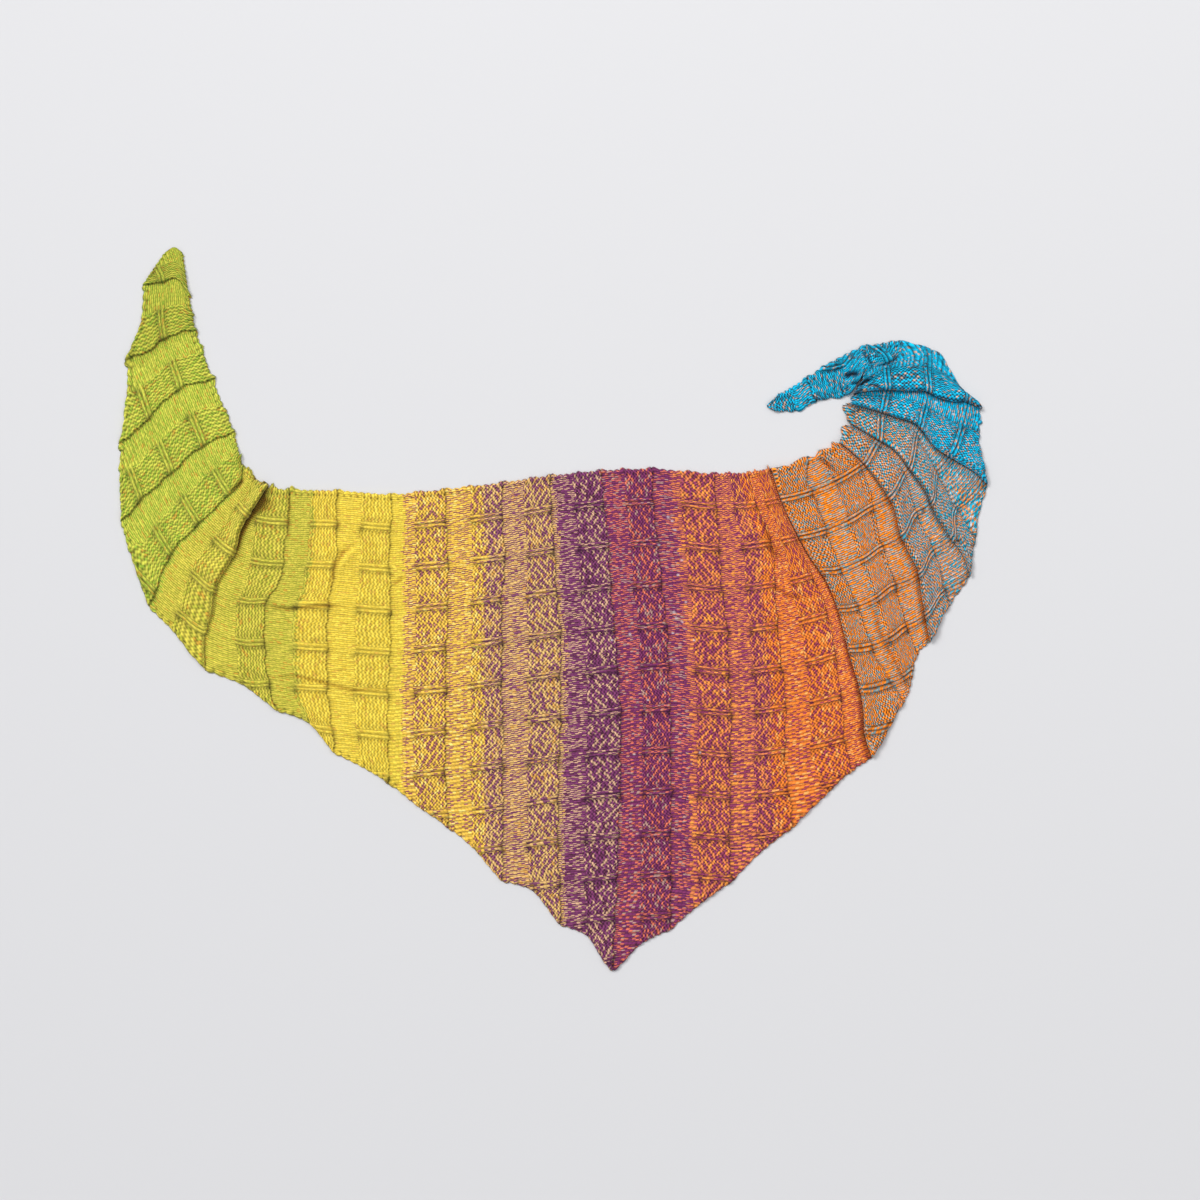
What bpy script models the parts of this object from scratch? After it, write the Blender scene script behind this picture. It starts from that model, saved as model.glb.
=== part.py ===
"""Knitted shawl, laid flat and face up.

One crescent of hand knitting, worked sideways in a single piece from the lime
tip (left) through the deep plum point (lower middle) to the blue tip (right).
Every row of knitting runs from the straight upper selvedge to the shaped lower
edge.  Sixteen rows make one band: plain rows first, then a block of purl rows
that stands a little proud and ends in a step.  The solids are the stretches of
that one piece that show between its colour changes and its folds.

Each solid is lofted through sections that follow the rows.  Where one stretch
laps over the next, the upper one has a rounded nose that holds its tucked-in
layers, and the lower one runs on under it as a thin tongue.
"""
import bpy
import numpy as np

# ---------------------------------------------------------------- sizes (m)
UNIT = 0.0011          # one unit of the plan drawing below (10 stitches are 41.5 units)
PLAN_X = 553.25        # plan point that lies over the origin, in drawing units
PLAN_Y = 608.01
WALL = 0.0022          # plain knitting, pressed flat
BLOCK = 0.0030         # purl block, thicker than the plain rows
GAP = 0.0003           # between neighbouring stretches
LAP_Z = 0.0026         # underside of a nose above the table: wall of the tongue and a gap
LAP = 0.0080           # how far a tongue runs under a nose
ACROSS = 12            # facets along every row, the same on both sides of a fold
PLAIN = 0.45           # share of a band that is plain

# ------------------------------------------------- row lines of the knitting
# band = rows worked so far, in bands of 16 rows
# line = the row from the upper selvedge to the lower edge, in drawing units
ROW_LINES = (
    # band, line
    (0.00, ((182, 252), (174, 247), (165, 252))),
    (1.00, ((188, 292), (176, 279), (160, 283), (144, 286))),
    (2.00, ((195, 331), (182, 332), (165, 340), (147, 352), (128, 359))),
    (3.00, ((212, 380), (196, 383), (176, 392), (157, 409), (140, 428), (121, 443))),
    (4.00, ((233, 432), (198, 450), (169, 475), (147, 495), (122, 522))),
    (5.00, ((243, 467), (240, 483), (205, 518), (178, 545), (165, 567), (150, 606))),
    (6.00, ((267, 488), (253, 509), (240, 530), (235, 551), (217, 582), (211, 612), (204, 640), (205, 668.5))),
    (6.45, ((269, 489), (259, 512), (254, 530), (251, 555), (247, 580), (238, 606), (236, 640), (241, 684))),
    (7.00, ((289, 490), (289, 519), (284, 552), (281, 578), (267, 602), (264.5, 621), (266, 664), (276, 709))),
    (8.00, ((337, 491), (337, 519), (337, 551), (332, 583), (328, 621), (327.5, 677), (334.5, 752))),
    (9.00, ((392, 495), (392, 524), (389, 558), (391, 596), (391, 629), (388.5, 690), (388, 735), (390, 784))),
    (10.00, ((445, 490), (447, 529), (448, 583), (448, 621), (445.5, 660), (447, 690), (445, 735), (448, 827))),
    (11.00, ((502, 483), (503, 522), (505, 562), (502, 603), (503, 740), (503, 880))),
    (12.00, ((550, 476), (553, 529), (557, 593), (561, 640), (560, 740), (558, 820), (561, 924))),
    (13.00, ((601, 471), (607, 529), (612, 597), (619, 680), (621, 740), (619, 830), (616, 905), (612.7, 969))),
    (14.00, ((652, 469), (654.6, 511), (661, 570), (667, 631), (671, 740), (671, 850), (671, 928))),
    (15.00, ((714, 474), (717, 511), (720, 560), (726, 619), (731, 708), (730, 807), (731, 881))),
    (16.00, ((749, 473), (755, 501), (768, 530), (774, 560), (776, 600), (779, 640), (785, 690), (786, 766), (793, 826))),
    (17.00, ((769, 469), (777, 497), (791, 529), (802, 553), (813, 577), (824, 602), (833, 638), (842, 706), (845, 740), (852, 770))),
    (17.45, ((771, 469), (781, 500), (795, 530), (810, 557), (826, 580), (836, 603), (843, 628), (850, 656), (858, 682), (863, 706), (865, 735), (872, 757))),
    (18.00, ((807, 460), (808, 480), (818, 505), (829, 540), (845, 577), (856, 603), (866, 630), (878, 660), (903, 702))),
    (19.00, ((838, 444), (859, 464), (869, 488), (878, 530), (892, 575), (904, 618), (917, 654))),
    (19.45, ((840, 443), (862, 462), (882, 487), (895, 510), (900, 533), (908, 550), (918, 570), (922, 596), (930, 641))),
    (20.00, ((849, 427), (873, 442), (892, 454), (905, 475), (912, 500), (922, 525), (936, 556), (949, 605))),
    (20.45, ((851, 424), (876, 439), (895, 451), (910, 470), (925, 490), (936, 515), (950, 537), (963, 555), (970, 574))),
    (21.00, ((850, 407), (875, 414.5), (894, 420.5), (911, 428), (923, 446), (934, 467), (952, 502), (975, 537))),
    (21.45, ((851, 404), (877, 411), (895, 417), (914, 423), (924, 433), (935, 447), (955, 460), (972, 470), (987, 484))),
    (22.00, ((854, 397), (880, 396), (905, 398), (925, 406), (945, 418), (978, 432))),
    (22.45, ((855, 393), (880, 390), (904, 390.5), (926, 391), (937, 397), (953, 401), (965, 401), (980, 408))),
    (23.00, ((859, 385), (880, 371), (901, 367), (925, 367), (945, 374), (958, 384))),
    (23.22, ((861, 381), (878, 368), (898, 362), (916, 359), (930, 356), (938, 352))),
    (23.45, ((862, 378), (873, 368), (888, 362), (898, 356), (901, 350), (902, 342))),
    (24.00, ((862, 374), (866, 360), (864, 347))),
    (24.45, ((846, 396), (844, 378), (837, 359))),
    (25.00, ((816, 400), (811, 389), (806, 379))),
    (25.45, ((797, 411), (794, 400), (789, 389))),
    (26.00, ((775, 411), (767, 406), (772, 400))),
)

# lower edge between two row lines, where the plain rows end
RIM = (
    # band, x, y
    (0.45, 153, 269), (1.45, 141.5, 318), (2.45, 127, 392), (3.45, 119.5, 480),
    (4.45, 129, 549), (5.45, 172, 630), (7.45, 307, 722), (8.45, 362, 767),
    (9.45, 417, 806), (10.45, 473, 848), (11.45, 530, 889), (12.45, 586, 935),
    (13.45, 641, 944), (14.45, 699, 905), (15.45, 760, 853), (16.45, 825, 796),
    (18.45, 909, 692), (21.20, 981, 506),
)

# where a stretch laps over its neighbour
FOLDS = (
    # band, upper stretch, crest at the selvedge / middle / lower edge (m), reach of the nose (bands), share of the row that laps
    (6.00, "before", (0.0130, 0.0080, 0.0030), 0.45, 0.56),
    (17.45, "after", (0.0095, 0.0075, 0.0065), 0.45, 1.0),
    (19.45, "after", (0.0095, 0.0085, 0.0070), 0.45, 1.0),
    (20.45, "after", (0.0100, 0.0085, 0.0065), 0.45, 1.0),
    (21.45, "after", (0.0115, 0.0085, 0.0065), 0.40, 1.0),
    (22.45, "after", (0.0125, 0.0085, 0.0065), 0.40, 1.0),
)

# knitting gathered up into a soft knot where the last bands turn sharply
GATHER = (
    # x, y, spread (drawing units), height (m)
    (861, 388, 9.0, 0.0065),
    (872, 372, 8.0, 0.0045),
)

# the stretches that show
STRETCHES = (
    # name, first band, last band, colour (linear RGB)
    ("wing_left_lime", 0.00, 6.00, (0.45, 0.46, 0.06)),
    ("field_yellow", 6.00, 9.23, (0.74, 0.56, 0.07)),
    ("field_gold_plum", 9.23, 12.00, (0.50, 0.30, 0.12)),
    ("field_plum", 12.00, 14.25, (0.25, 0.09, 0.12)),
    ("field_rust", 14.25, 17.45, (0.52, 0.16, 0.08)),
    ("fan_amber", 17.45, 19.45, (0.55, 0.26, 0.10)),
    ("fan_slate", 19.45, 20.45, (0.27, 0.29, 0.26)),
    ("fan_teal", 20.45, 21.45, (0.26, 0.30, 0.27)),
    ("bend_blue", 21.45, 22.45, (0.09, 0.31, 0.40)),
    ("tip_blue", 22.45, 26.00, (0.07, 0.29, 0.39)),
)


# ------------------------------------------------------------------- plan
def smooth_row(line, shares):
    """Points of the smooth curve through a row's plan points, at shares of its length."""
    p = np.array(line, float)
    d = np.r_[0.0, np.cumsum(np.hypot(*np.diff(p, axis=0).T))]
    m = np.empty_like(p)
    m[1:-1] = (p[2:] - p[:-2]) / (d[2:] - d[:-2])[:, None]
    m[0] = (p[1] - p[0]) / (d[1] - d[0])
    m[-1] = (p[-1] - p[-2]) / (d[-1] - d[-2])
    t = np.linspace(0.0, d[-1], 241)
    i = np.clip(np.searchsorted(d, t, side="right") - 1, 0, len(d) - 2)
    h = d[i + 1] - d[i]
    s = (t - d[i]) / h
    q = ((2 * s**3 - 3 * s**2 + 1)[:, None] * p[i]
         + ((s**3 - 2 * s**2 + s) * h)[:, None] * m[i]
         + (3 * s**2 - 2 * s**3)[:, None] * p[i + 1]
         + ((s**3 - s**2) * h)[:, None] * m[i + 1])
    run = np.r_[0.0, np.cumsum(np.hypot(*np.diff(q, axis=0).T))]
    v = np.asarray(shares) * run[-1]
    return np.c_[np.interp(v, run, q[:, 0]), np.interp(v, run, q[:, 1])]


def soft(a, b, x):
    s = np.clip((x - a) / (b - a), 0.0, 1.0)
    return s * s * (3.0 - 2.0 * s)


def plan_rows(shares):
    """Bands and plan points of every known row, with the lower edge's scallops put in."""
    known = {band: smooth_row(line, shares) for band, line in ROW_LINES}
    bands = sorted(known)
    pull = soft(0.86, 1.0, np.asarray(shares))
    for band, x, y in RIM:
        before = max(b for b in bands if b <= band)
        after = min(b for b in bands if b >= band)
        f = (band - before) / (after - before) if after > before else 0.0
        row = known[before] * (1 - f) + known[after] * f
        end = row[-1].copy()
        known[band] = row + pull[:, None] * (np.array([x, y]) - end)
    bands = np.array(sorted(known))
    return bands, np.array([known[b] for b in bands])


def place(bands, rows, band):
    """Plan position, in metres, of the row at any band."""
    i = int(np.clip(np.searchsorted(bands, band, side="right") - 1, 0, len(bands) - 2))
    f = (band - bands[i]) / (bands[i + 1] - bands[i])
    p = rows[i] * (1 - f) + rows[i + 1] * f
    return np.c_[(p[:, 0] - PLAN_X) * UNIT, (PLAN_Y - p[:, 1]) * UNIT]


def at_edge(bands, rows, band, step, move):
    """The row at this band, moved by `move` metres towards the row `step` bands on."""
    here = place(bands, rows, band)
    there = place(bands, rows, band + step)
    way = there - here
    length = np.hypot(way[:, 0], way[:, 1])
    length[length < 1e-6] = 1.0
    return here + way / length[:, None] * np.asarray(move).reshape(-1, 1)


def lap_reach(bands, rows, fold):
    """How far the tongue runs under the nose, shorter where the rows crowd together."""
    to = fold[0] + (fold[3] if fold[1] == "after" else -fold[3])
    away = place(bands, rows, to) - place(bands, rows, fold[0])
    return np.minimum(LAP, 0.6 * np.hypot(away[:, 0], away[:, 1]) - 0.0014)


# ---------------------------------------------------------------- heights
def flat_top(band, shares):
    """Upper face of knitting that lies flat: purl blocks stand proud of the plain rows."""
    f = band - np.floor(band + 1e-9)
    if band > 0 and f < 1e-6:
        f = 1.0
    proud = soft(PLAIN - 0.03, PLAIN + 0.05, f)
    return np.full(len(shares), WALL + (BLOCK - WALL) * proud)


def over_share(heights, shares):
    """A quantity given at the selvedge, the middle and the lower edge."""
    v = np.asarray(shares)
    return np.interp(v, (0.0, 0.5, 1.0), heights)


def gather(points):
    x = points[:, 0] / UNIT + PLAN_X
    y = PLAN_Y - points[:, 1] / UNIT
    z = np.zeros(len(points))
    for gx, gy, spread, height in GATHER:
        z += height * np.exp(-((x - gx) ** 2 + (y - gy) ** 2) / (2 * spread**2))
    return z


# --------------------------------------------------------------- sections
class Section:
    """One row of a stretch: plan points, underside and upper face."""

    def __init__(self, points, under, top):
        n = len(points)
        self.points = points
        self.under = np.broadcast_to(under, n).astype(float).copy()
        self.top = np.broadcast_to(top, n).astype(float).copy()


def stretch_sections(first, last, shares):
    bands, rows = plan_rows(shares)
    shares = np.asarray(shares)
    start = next((f for f in FOLDS if f[0] == first), None)
    finish = next((f for f in FOLDS if f[0] == last), None)
    sections = []
    skip_to, stop_at = first, last

    # ---- first edge
    if start and start[1] == "after":
        # rounded nose over the neighbour's tongue
        crest = over_share(start[2], shares)
        reach = start[3]
        lap = lap_reach(bands, rows, start)
        for move, low, rise in ((0.0 * lap, LAP_Z, 0.30), (0.2 * lap, LAP_Z, 0.72), (0.5 * lap, LAP_Z, 1.0),
                                (lap + 0.0005, LAP_Z, 0.97), (lap + 0.0014, 0.0, 0.94)):
            p = at_edge(bands, rows, first, 0.3, move)
            top = LAP_Z + 0.0009 + (crest - LAP_Z - 0.0009) * rise
            sections.append(Section(p, low, top + gather(p) * min(1.0, rise + 0.2)))
        for share in (0.7, 0.85, 1.0):
            band = first + reach * share
            p = place(bands, rows, band)
            fall = crest * 0.94 * (1 - soft(0.3, 1.0, share)) + BLOCK * soft(0.3, 1.0, share)
            sections.append(Section(p, 0.0, np.maximum(fall, BLOCK) + gather(p)))
        skip_to = first + reach + 0.02
    elif start:
        # tongue that lies under the neighbour, as far along the row as it laps
        laps = shares <= start[4]
        lap = lap_reach(bands, rows, start)
        p = at_edge(bands, rows, first, -0.3, np.where(laps, lap, -GAP / 2))
        sections.append(Section(p, 0.0, WALL))
        p = at_edge(bands, rows, first, -0.3, np.where(laps, -0.0004, -GAP / 2 - 0.0006))
        sections.append(Section(p, 0.0, WALL))
        skip_to = first + 0.03
    elif first > ROW_LINES[0][0]:
        p = at_edge(bands, rows, first, 0.2, GAP / 2)
        sections.append(Section(p, 0.0, flat_top(first, shares)))
        skip_to = first + 0.03
    else:
        p = place(bands, rows, first)
        sections.append(Section(p, 0.0, WALL))
        skip_to = first + 0.1

    # ---- last edge
    tail = []
    if finish and finish[1] == "before":
        # this stretch laps over the next one: the nose is at its last row
        crest = over_share(finish[2], shares)
        laps = shares <= finish[4]
        lifted = shares <= finish[4] + 0.02
        lap = lap_reach(bands, rows, finish)
        for move, low, rise in ((lap + 0.0014, 0.0, 0.93), (lap + 0.0005, LAP_Z, 0.96),
                                (0.5 * lap, LAP_Z, 1.0), (0.2 * lap, LAP_Z, 0.72), (0.0 * lap, LAP_Z, 0.30)):
            back = np.where(laps, move, move * 0.25 + GAP / 2)
            p = at_edge(bands, rows, last, -0.3, back)
            low = np.where(lifted, low, 0.0)
            top = LAP_Z + 0.0009 + (np.maximum(crest, BLOCK + 0.0008) - LAP_Z - 0.0009) * rise
            tail.append(Section(p, low, np.where(lifted, top, BLOCK)))
        stop_at = last - 0.50
        for share in (0.35, 0.50):
            p = place(bands, rows, last - share)
            rise = 1 - soft(0.15, 0.6, share)
            tail.insert(0, Section(p, 0.0, BLOCK + np.maximum(crest - BLOCK, 0.0) * 0.8 * rise))
    elif finish:
        # thin tongue that runs on under the next stretch
        p = at_edge(bands, rows, last, -0.3, 0.0008)
        tail.append(Section(p, 0.0, WALL))
        p = at_edge(bands, rows, last, 0.3, lap_reach(bands, rows, finish))
        tail.append(Section(p, 0.0, WALL))
        stop_at = last - 0.04
    elif last < ROW_LINES[-1][0]:
        p = at_edge(bands, rows, last, -0.2, GAP / 2)
        tail.append(Section(p, 0.0, flat_top(last, shares)))
        stop_at = last - 0.04
    else:
        tail.append(Section(place(bands, rows, last), 0.0, WALL))
        stop_at = last - 0.1

    # ---- rows between
    stops = set()
    for whole in range(int(first), int(last) + 1):
        for f in (0.0, 0.02, PLAIN - 0.03, PLAIN, PLAIN + 0.05, 0.75):
            stops.add(round(whole + f, 4))
    stops |= {round(b, 4) for b in bands if abs(b - round(b)) > 0.01 and abs(b % 1 - PLAIN) > 0.01}
    for band in sorted(stops):
        if skip_to < band < stop_at:
            p = place(bands, rows, band)
            sections.append(Section(p, 0.0, flat_top(band, shares) + gather(p)))
    return sections + tail


# ----------------------------------------------------------------- solids
def loft(name, sections, colour, collection):
    """Closed wall between the undersides and the upper faces of its sections."""
    rows, across = len(sections), len(sections[0].points)
    verts = []
    for side in ("top", "under"):
        for s in sections:
            z = getattr(s, side)
            verts += [(float(x), float(y), float(h)) for (x, y), h in zip(s.points, z)]
    base = rows * across

    def at(i, j, lower=False):
        return i * across + j + (base if lower else 0)

    faces = []
    for i in range(rows - 1):
        for j in range(across - 1):
            faces.append((at(i, j), at(i, j + 1), at(i + 1, j + 1), at(i + 1, j)))
            faces.append((at(i, j, True), at(i + 1, j, True), at(i + 1, j + 1, True), at(i, j + 1, True)))
    for i in range(rows - 1):
        faces.append((at(i, 0), at(i + 1, 0), at(i + 1, 0, True), at(i, 0, True)))
        faces.append((at(i + 1, across - 1), at(i, across - 1), at(i, across - 1, True), at(i + 1, across - 1, True)))
    for j in range(across - 1):
        faces.append((at(0, j + 1), at(0, j), at(0, j, True), at(0, j + 1, True)))
        faces.append((at(rows - 1, j), at(rows - 1, j + 1), at(rows - 1, j + 1, True), at(rows - 1, j, True)))

    mesh = bpy.data.meshes.new(name)
    mesh.from_pydata(verts, [], faces)
    mesh.validate()
    mesh.update()
    material = bpy.data.materials.new(name + "_knit")
    material.use_nodes = True
    shader = material.node_tree.nodes["Principled BSDF"]
    shader.inputs["Base Color"].default_value = (*colour, 1.0)
    shader.inputs["Roughness"].default_value = 0.9
    shader.inputs["Metallic"].default_value = 0.0
    mesh.materials.append(material)
    obj = bpy.data.objects.new(name, mesh)
    collection.objects.link(obj)
    return obj


def row_shares(count, folds):
    """Even shares of the row, with extra ones where a lap dies out part way along."""
    shares = set(np.linspace(0.0, 1.0, count + 1).round(5))
    for fold in folds:
        if fold[4] < 1.0:
            shares |= {fold[4], fold[4] + 0.02, fold[4] + 0.04}
    return np.array(sorted(shares))


def main():
    for obj in list(bpy.data.objects):
        bpy.data.objects.remove(obj, do_unlink=True)
    shawl = bpy.data.collections.new("knitted_shawl")
    bpy.context.scene.collection.children.link(shawl)
    for name, first, last, colour in STRETCHES:
        folds = [f for f in FOLDS if f[0] in (first, last)]
        sections = stretch_sections(first, last, row_shares(ACROSS, folds))
        loft(name, sections, colour, shawl)


main()
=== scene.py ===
"""Looks of the knitted shawl: every stretch is a closed shell of knitting whose surface
carries its stitches, purl blocks, double ridges, pleats and creases.

The knitting has two coordinates.  r counts rows from the lime tip (16 to a band), and
c counts stitches from the upper selvedge.  Rows follow the same plan drawing as the
solids, so the shells lie on them.
"""

import math

import bpy
import numpy as np
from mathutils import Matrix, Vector


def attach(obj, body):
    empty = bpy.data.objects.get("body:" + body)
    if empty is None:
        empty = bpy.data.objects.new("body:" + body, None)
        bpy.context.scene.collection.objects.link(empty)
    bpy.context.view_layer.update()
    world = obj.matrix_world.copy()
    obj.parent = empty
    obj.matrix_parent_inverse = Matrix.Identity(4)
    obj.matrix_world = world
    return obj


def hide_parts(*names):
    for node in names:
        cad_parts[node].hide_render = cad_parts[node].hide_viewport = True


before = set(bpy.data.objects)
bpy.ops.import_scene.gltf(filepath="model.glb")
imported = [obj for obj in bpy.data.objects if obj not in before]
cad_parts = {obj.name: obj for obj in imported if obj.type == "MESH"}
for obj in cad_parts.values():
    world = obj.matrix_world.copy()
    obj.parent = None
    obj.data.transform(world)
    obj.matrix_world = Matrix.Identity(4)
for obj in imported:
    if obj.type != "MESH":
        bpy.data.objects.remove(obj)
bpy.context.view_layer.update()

# ---------------------------------------------------------------- sizes (m)
UNIT = 0.0011            # one unit of the plan drawing
PLAN_X, PLAN_Y = 553.25, 608.01
ST = 4.15                # stitch width, drawing units
ROW_M = 0.0037           # row height
WALL, BLOCK = 0.0022, 0.0030
LAP_Z, LAP = 0.0026, 0.0080
PER_ROW = 4              # mesh rows per knitted row
PER_ST = 4               # mesh columns per stitch
TWIST = 0.62             # how regularly the two strands of the yarn take turns
LEAN = 0.28              # how far the legs of a plain stitch lean, in rows
TONE, DEPTH = 0.32, 0.84 # unevenness of the strands, depth of the shade between them
# strength of the painted shade under each band's last row, and at both ends of every ridge
STEP_DIM, RIDGE_END_SHADE = 0.62, 0.55
WANDER = 0.42            # how far the hand-knitted rows wander, in rows
RUN_ON, FAN_RUN = 0.10, 0.55   # how strongly the ridges run on across the plain rows, and more so in the fans

# ------------------------------------------------- row lines of the knitting
ROW_LINES = (
    # band, line (upper selvedge to lower edge, drawing units)
    (0.00, ((182, 252), (174, 247), (165, 252))),
    (1.00, ((188, 292), (176, 279), (160, 283), (144, 286))),
    (2.00, ((195, 331), (182, 332), (165, 340), (147, 352), (128, 359))),
    (3.00, ((212, 380), (196, 383), (176, 392), (157, 409), (140, 428), (121, 443))),
    (4.00, ((233, 432), (198, 450), (169, 475), (147, 495), (122, 522))),
    (5.00, ((243, 467), (240, 483), (205, 518), (178, 545), (165, 567), (150, 606))),
    (6.00, ((267, 488), (253, 509), (240, 530), (235, 551), (217, 582), (211, 612), (204, 640), (205, 668.5))),
    (6.45, ((269, 489), (259, 512), (254, 530), (251, 555), (247, 580), (238, 606), (236, 640), (241, 684))),
    (7.00, ((289, 490), (289, 519), (284, 552), (281, 578), (267, 602), (264.5, 621), (266, 664), (276, 709))),
    (8.00, ((337, 491), (337, 519), (337, 551), (332, 583), (328, 621), (327.5, 677), (334.5, 752))),
    (9.00, ((392, 495), (392, 524), (389, 558), (391, 596), (391, 629), (388.5, 690), (388, 735), (390, 784))),
    (10.00, ((445, 490), (447, 529), (448, 583), (448, 621), (445.5, 660), (447, 690), (445, 735), (448, 827))),
    (11.00, ((502, 483), (503, 522), (505, 562), (502, 603), (503, 740), (503, 880))),
    (12.00, ((550, 476), (553, 529), (557, 593), (561, 640), (560, 740), (558, 820), (561, 924))),
    (13.00, ((601, 471), (607, 529), (612, 597), (619, 680), (621, 740), (619, 830), (616, 905), (612.7, 969))),
    (14.00, ((652, 469), (654.6, 511), (661, 570), (667, 631), (671, 740), (671, 850), (671, 928))),
    (15.00, ((714, 474), (717, 511), (720, 560), (726, 619), (731, 708), (730, 807), (731, 881))),
    (16.00, ((749, 473), (755, 501), (768, 530), (774, 560), (776, 600), (779, 640), (785, 690), (786, 766), (793, 826))),
    (17.00, ((769, 469), (777, 497), (791, 529), (802, 553), (813, 577), (824, 602), (833, 638), (842, 706), (845, 740), (852, 770))),
    (17.45, ((771, 469), (781, 500), (795, 530), (810, 557), (826, 580), (836, 603), (843, 628), (850, 656), (858, 682), (863, 706), (865, 735), (872, 757))),
    (18.00, ((807, 460), (808, 480), (818, 505), (829, 540), (845, 577), (856, 603), (866, 630), (878, 660), (903, 702))),
    (19.00, ((838, 444), (859, 464), (869, 488), (878, 530), (892, 575), (904, 618), (917, 654))),
    (19.45, ((840, 443), (862, 462), (882, 487), (895, 510), (900, 533), (908, 550), (918, 570), (922, 596), (930, 641))),
    (20.00, ((849, 427), (873, 442), (892, 454), (905, 475), (912, 500), (922, 525), (936, 556), (949, 605))),
    (20.45, ((851, 424), (876, 439), (895, 451), (910, 470), (925, 490), (936, 515), (950, 537), (963, 555), (970, 574))),
    (21.00, ((850, 407), (875, 414.5), (894, 420.5), (911, 428), (923, 446), (934, 467), (952, 502), (975, 537))),
    (21.45, ((851, 404), (877, 411), (895, 417), (914, 423), (924, 433), (935, 447), (955, 460), (972, 470), (987, 484))),
    (22.00, ((854, 397), (880, 396), (905, 398), (925, 406), (945, 418), (978, 432))),
    (22.45, ((855, 393), (880, 390), (904, 390.5), (926, 391), (937, 397), (953, 401), (965, 401), (980, 408))),
    (23.00, ((859, 385), (880, 371), (901, 367), (925, 367), (945, 374), (958, 384))),
    (23.22, ((861, 381), (878, 368), (898, 362), (916, 359), (930, 356), (938, 352))),
    (23.45, ((862, 378), (873, 368), (888, 362), (898, 356), (901, 350), (902, 342))),
    (24.00, ((862, 374), (866, 360), (864, 347))),
    (24.45, ((846, 396), (844, 378), (837, 359))),
    (25.00, ((816, 400), (811, 389), (806, 379))),
    (25.45, ((797, 411), (794, 400), (789, 389))),
    (26.00, ((775, 411), (767, 406), (772, 400))),
)
RIM = (
    # band, x, y of the lower edge where plain rows end
    (0.45, 153, 269), (1.45, 141.5, 318), (2.45, 127, 392), (3.45, 119.5, 480),
    (4.45, 129, 549), (5.45, 172, 630), (7.45, 307, 722), (8.45, 362, 767),
    (9.45, 417, 806), (10.45, 473, 848), (11.45, 530, 889), (12.45, 586, 935),
    (13.45, 641, 944), (14.45, 699, 905), (15.45, 760, 853), (16.45, 825, 796),
    (18.45, 909, 692), (21.20, 981, 506),
)
FOLDS = (
    # band, upper stretch, crest at the selvedge / middle / lower edge (m), reach (bands), share of the row that laps
    (6.00, "before", (0.0130, 0.0080, 0.0030), 0.45, 0.56),
    (17.45, "after", (0.0095, 0.0075, 0.0065), 0.45, 1.0),
    (19.45, "after", (0.0095, 0.0085, 0.0070), 0.45, 1.0),
    (20.45, "after", (0.0100, 0.0085, 0.0065), 0.45, 1.0),
    (21.45, "after", (0.0115, 0.0085, 0.0065), 0.40, 1.0),
    (22.45, "after", (0.0125, 0.0085, 0.0065), 0.40, 1.0),
)
GATHER = (
    # x, y, spread (units), height (m)
    (861, 388, 9.0, 0.0065),
    (872, 372, 8.0, 0.0045),
)
KNOBS = (
    # band, side (0 upper selvedge, 1 lower edge), how far out (units), half width (rows)
    (4.71, 0, 4.4, 0.9), (5.23, 0, 4.6, 2.2), (5.52, 0, -1.6, 1.0), (5.85, 0, 3.2, 2.0), (6.52, 0, 6.5, 2.4), (7.09, 0, 3.0, 1.2),
    (1.01, 0, 2.6, 1.1), (1.55, 0, 1.6, 1.2), (2.35, 0, 2.6, 1.1), (2.95, 0, 2.4, 1.1), (3.62, 0, 1.8, 1.4), (9.50, 0, 1.8, 1.4), (10.40, 0, 1.6, 1.4), (11.60, 0, 1.6, 1.6), (12.55, 0, 1.6, 1.4),
    (13.45, 0, 2.0, 1.6), (14.60, 0, 1.6, 1.4), (15.40, 0, 1.8, 1.4),
    (16.30, 0, 2.4, 1.3), (16.95, 0, 2.6, 1.3), (17.92, 0, 3.6, 1.5), (18.45, 0, 4.0, 1.6), (18.85, 0, 4.0, 1.7),
    (19.85, 0, 5.6, 2.6), (20.30, 0, -1.4, 1.8), (20.86, 0, 7.0, 4.6), (21.35, 0, 4.0, 1.6), (21.90, 0, 2.0, 2.4), (2.01, 1, 2.0, 1.2), (3.01, 1, 2.0, 1.2),
    (22.20, 1, 3.4, 1.4), (22.62, 1, 2.2, 1.4), (2.62, 1, 1.8, 1.4), (3.30, 1, 1.6, 1.2), (4.40, 1, 1.6, 1.2),
    (24.20, 0, 1.8, 1.3), (25.20, 0, 1.6, 1.3), (25.80, 1, 2.2, 1.6), (19.70, 1, 1.8, 1.5), (18.75, 1, 1.6, 1.4),
    (23.50, 1, 1.6, 1.6), (24.70, 1, 1.4, 1.6), (20.60, 1, 1.6, 1.4),
)
SPECKS = (
    # x, y of stitches pulled open, where the surface below shows
    (634, 754), (700, 752), (735, 774), (668, 517), (672, 521), (675, 530), (659, 545), (682, 560), (678, 575),
    (674, 612), (686, 602), (676, 618), (682, 622), (630, 634), (673, 633), (936, 402), (953, 414), (612, 640),
    (671, 660), (648, 700), (724, 690), (694, 640), (888, 549), (857, 503),
)
STRETCHES = (
    # name, first row, last row
    ("wing_left_lime", 0, 96),
    ("field_yellow", 96, 148),
    ("field_gold_plum", 148, 192),
    ("field_plum", 192, 228),
    ("field_rust", 228, 279.2),
    ("fan_amber", 279.2, 311.2),
    ("fan_slate", 311.2, 327.2),
    ("fan_teal", 327.2, 343.2),
    ("bend_blue", 343.2, 359.2),
    ("tip_blue", 359.2, 416),
)

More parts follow.
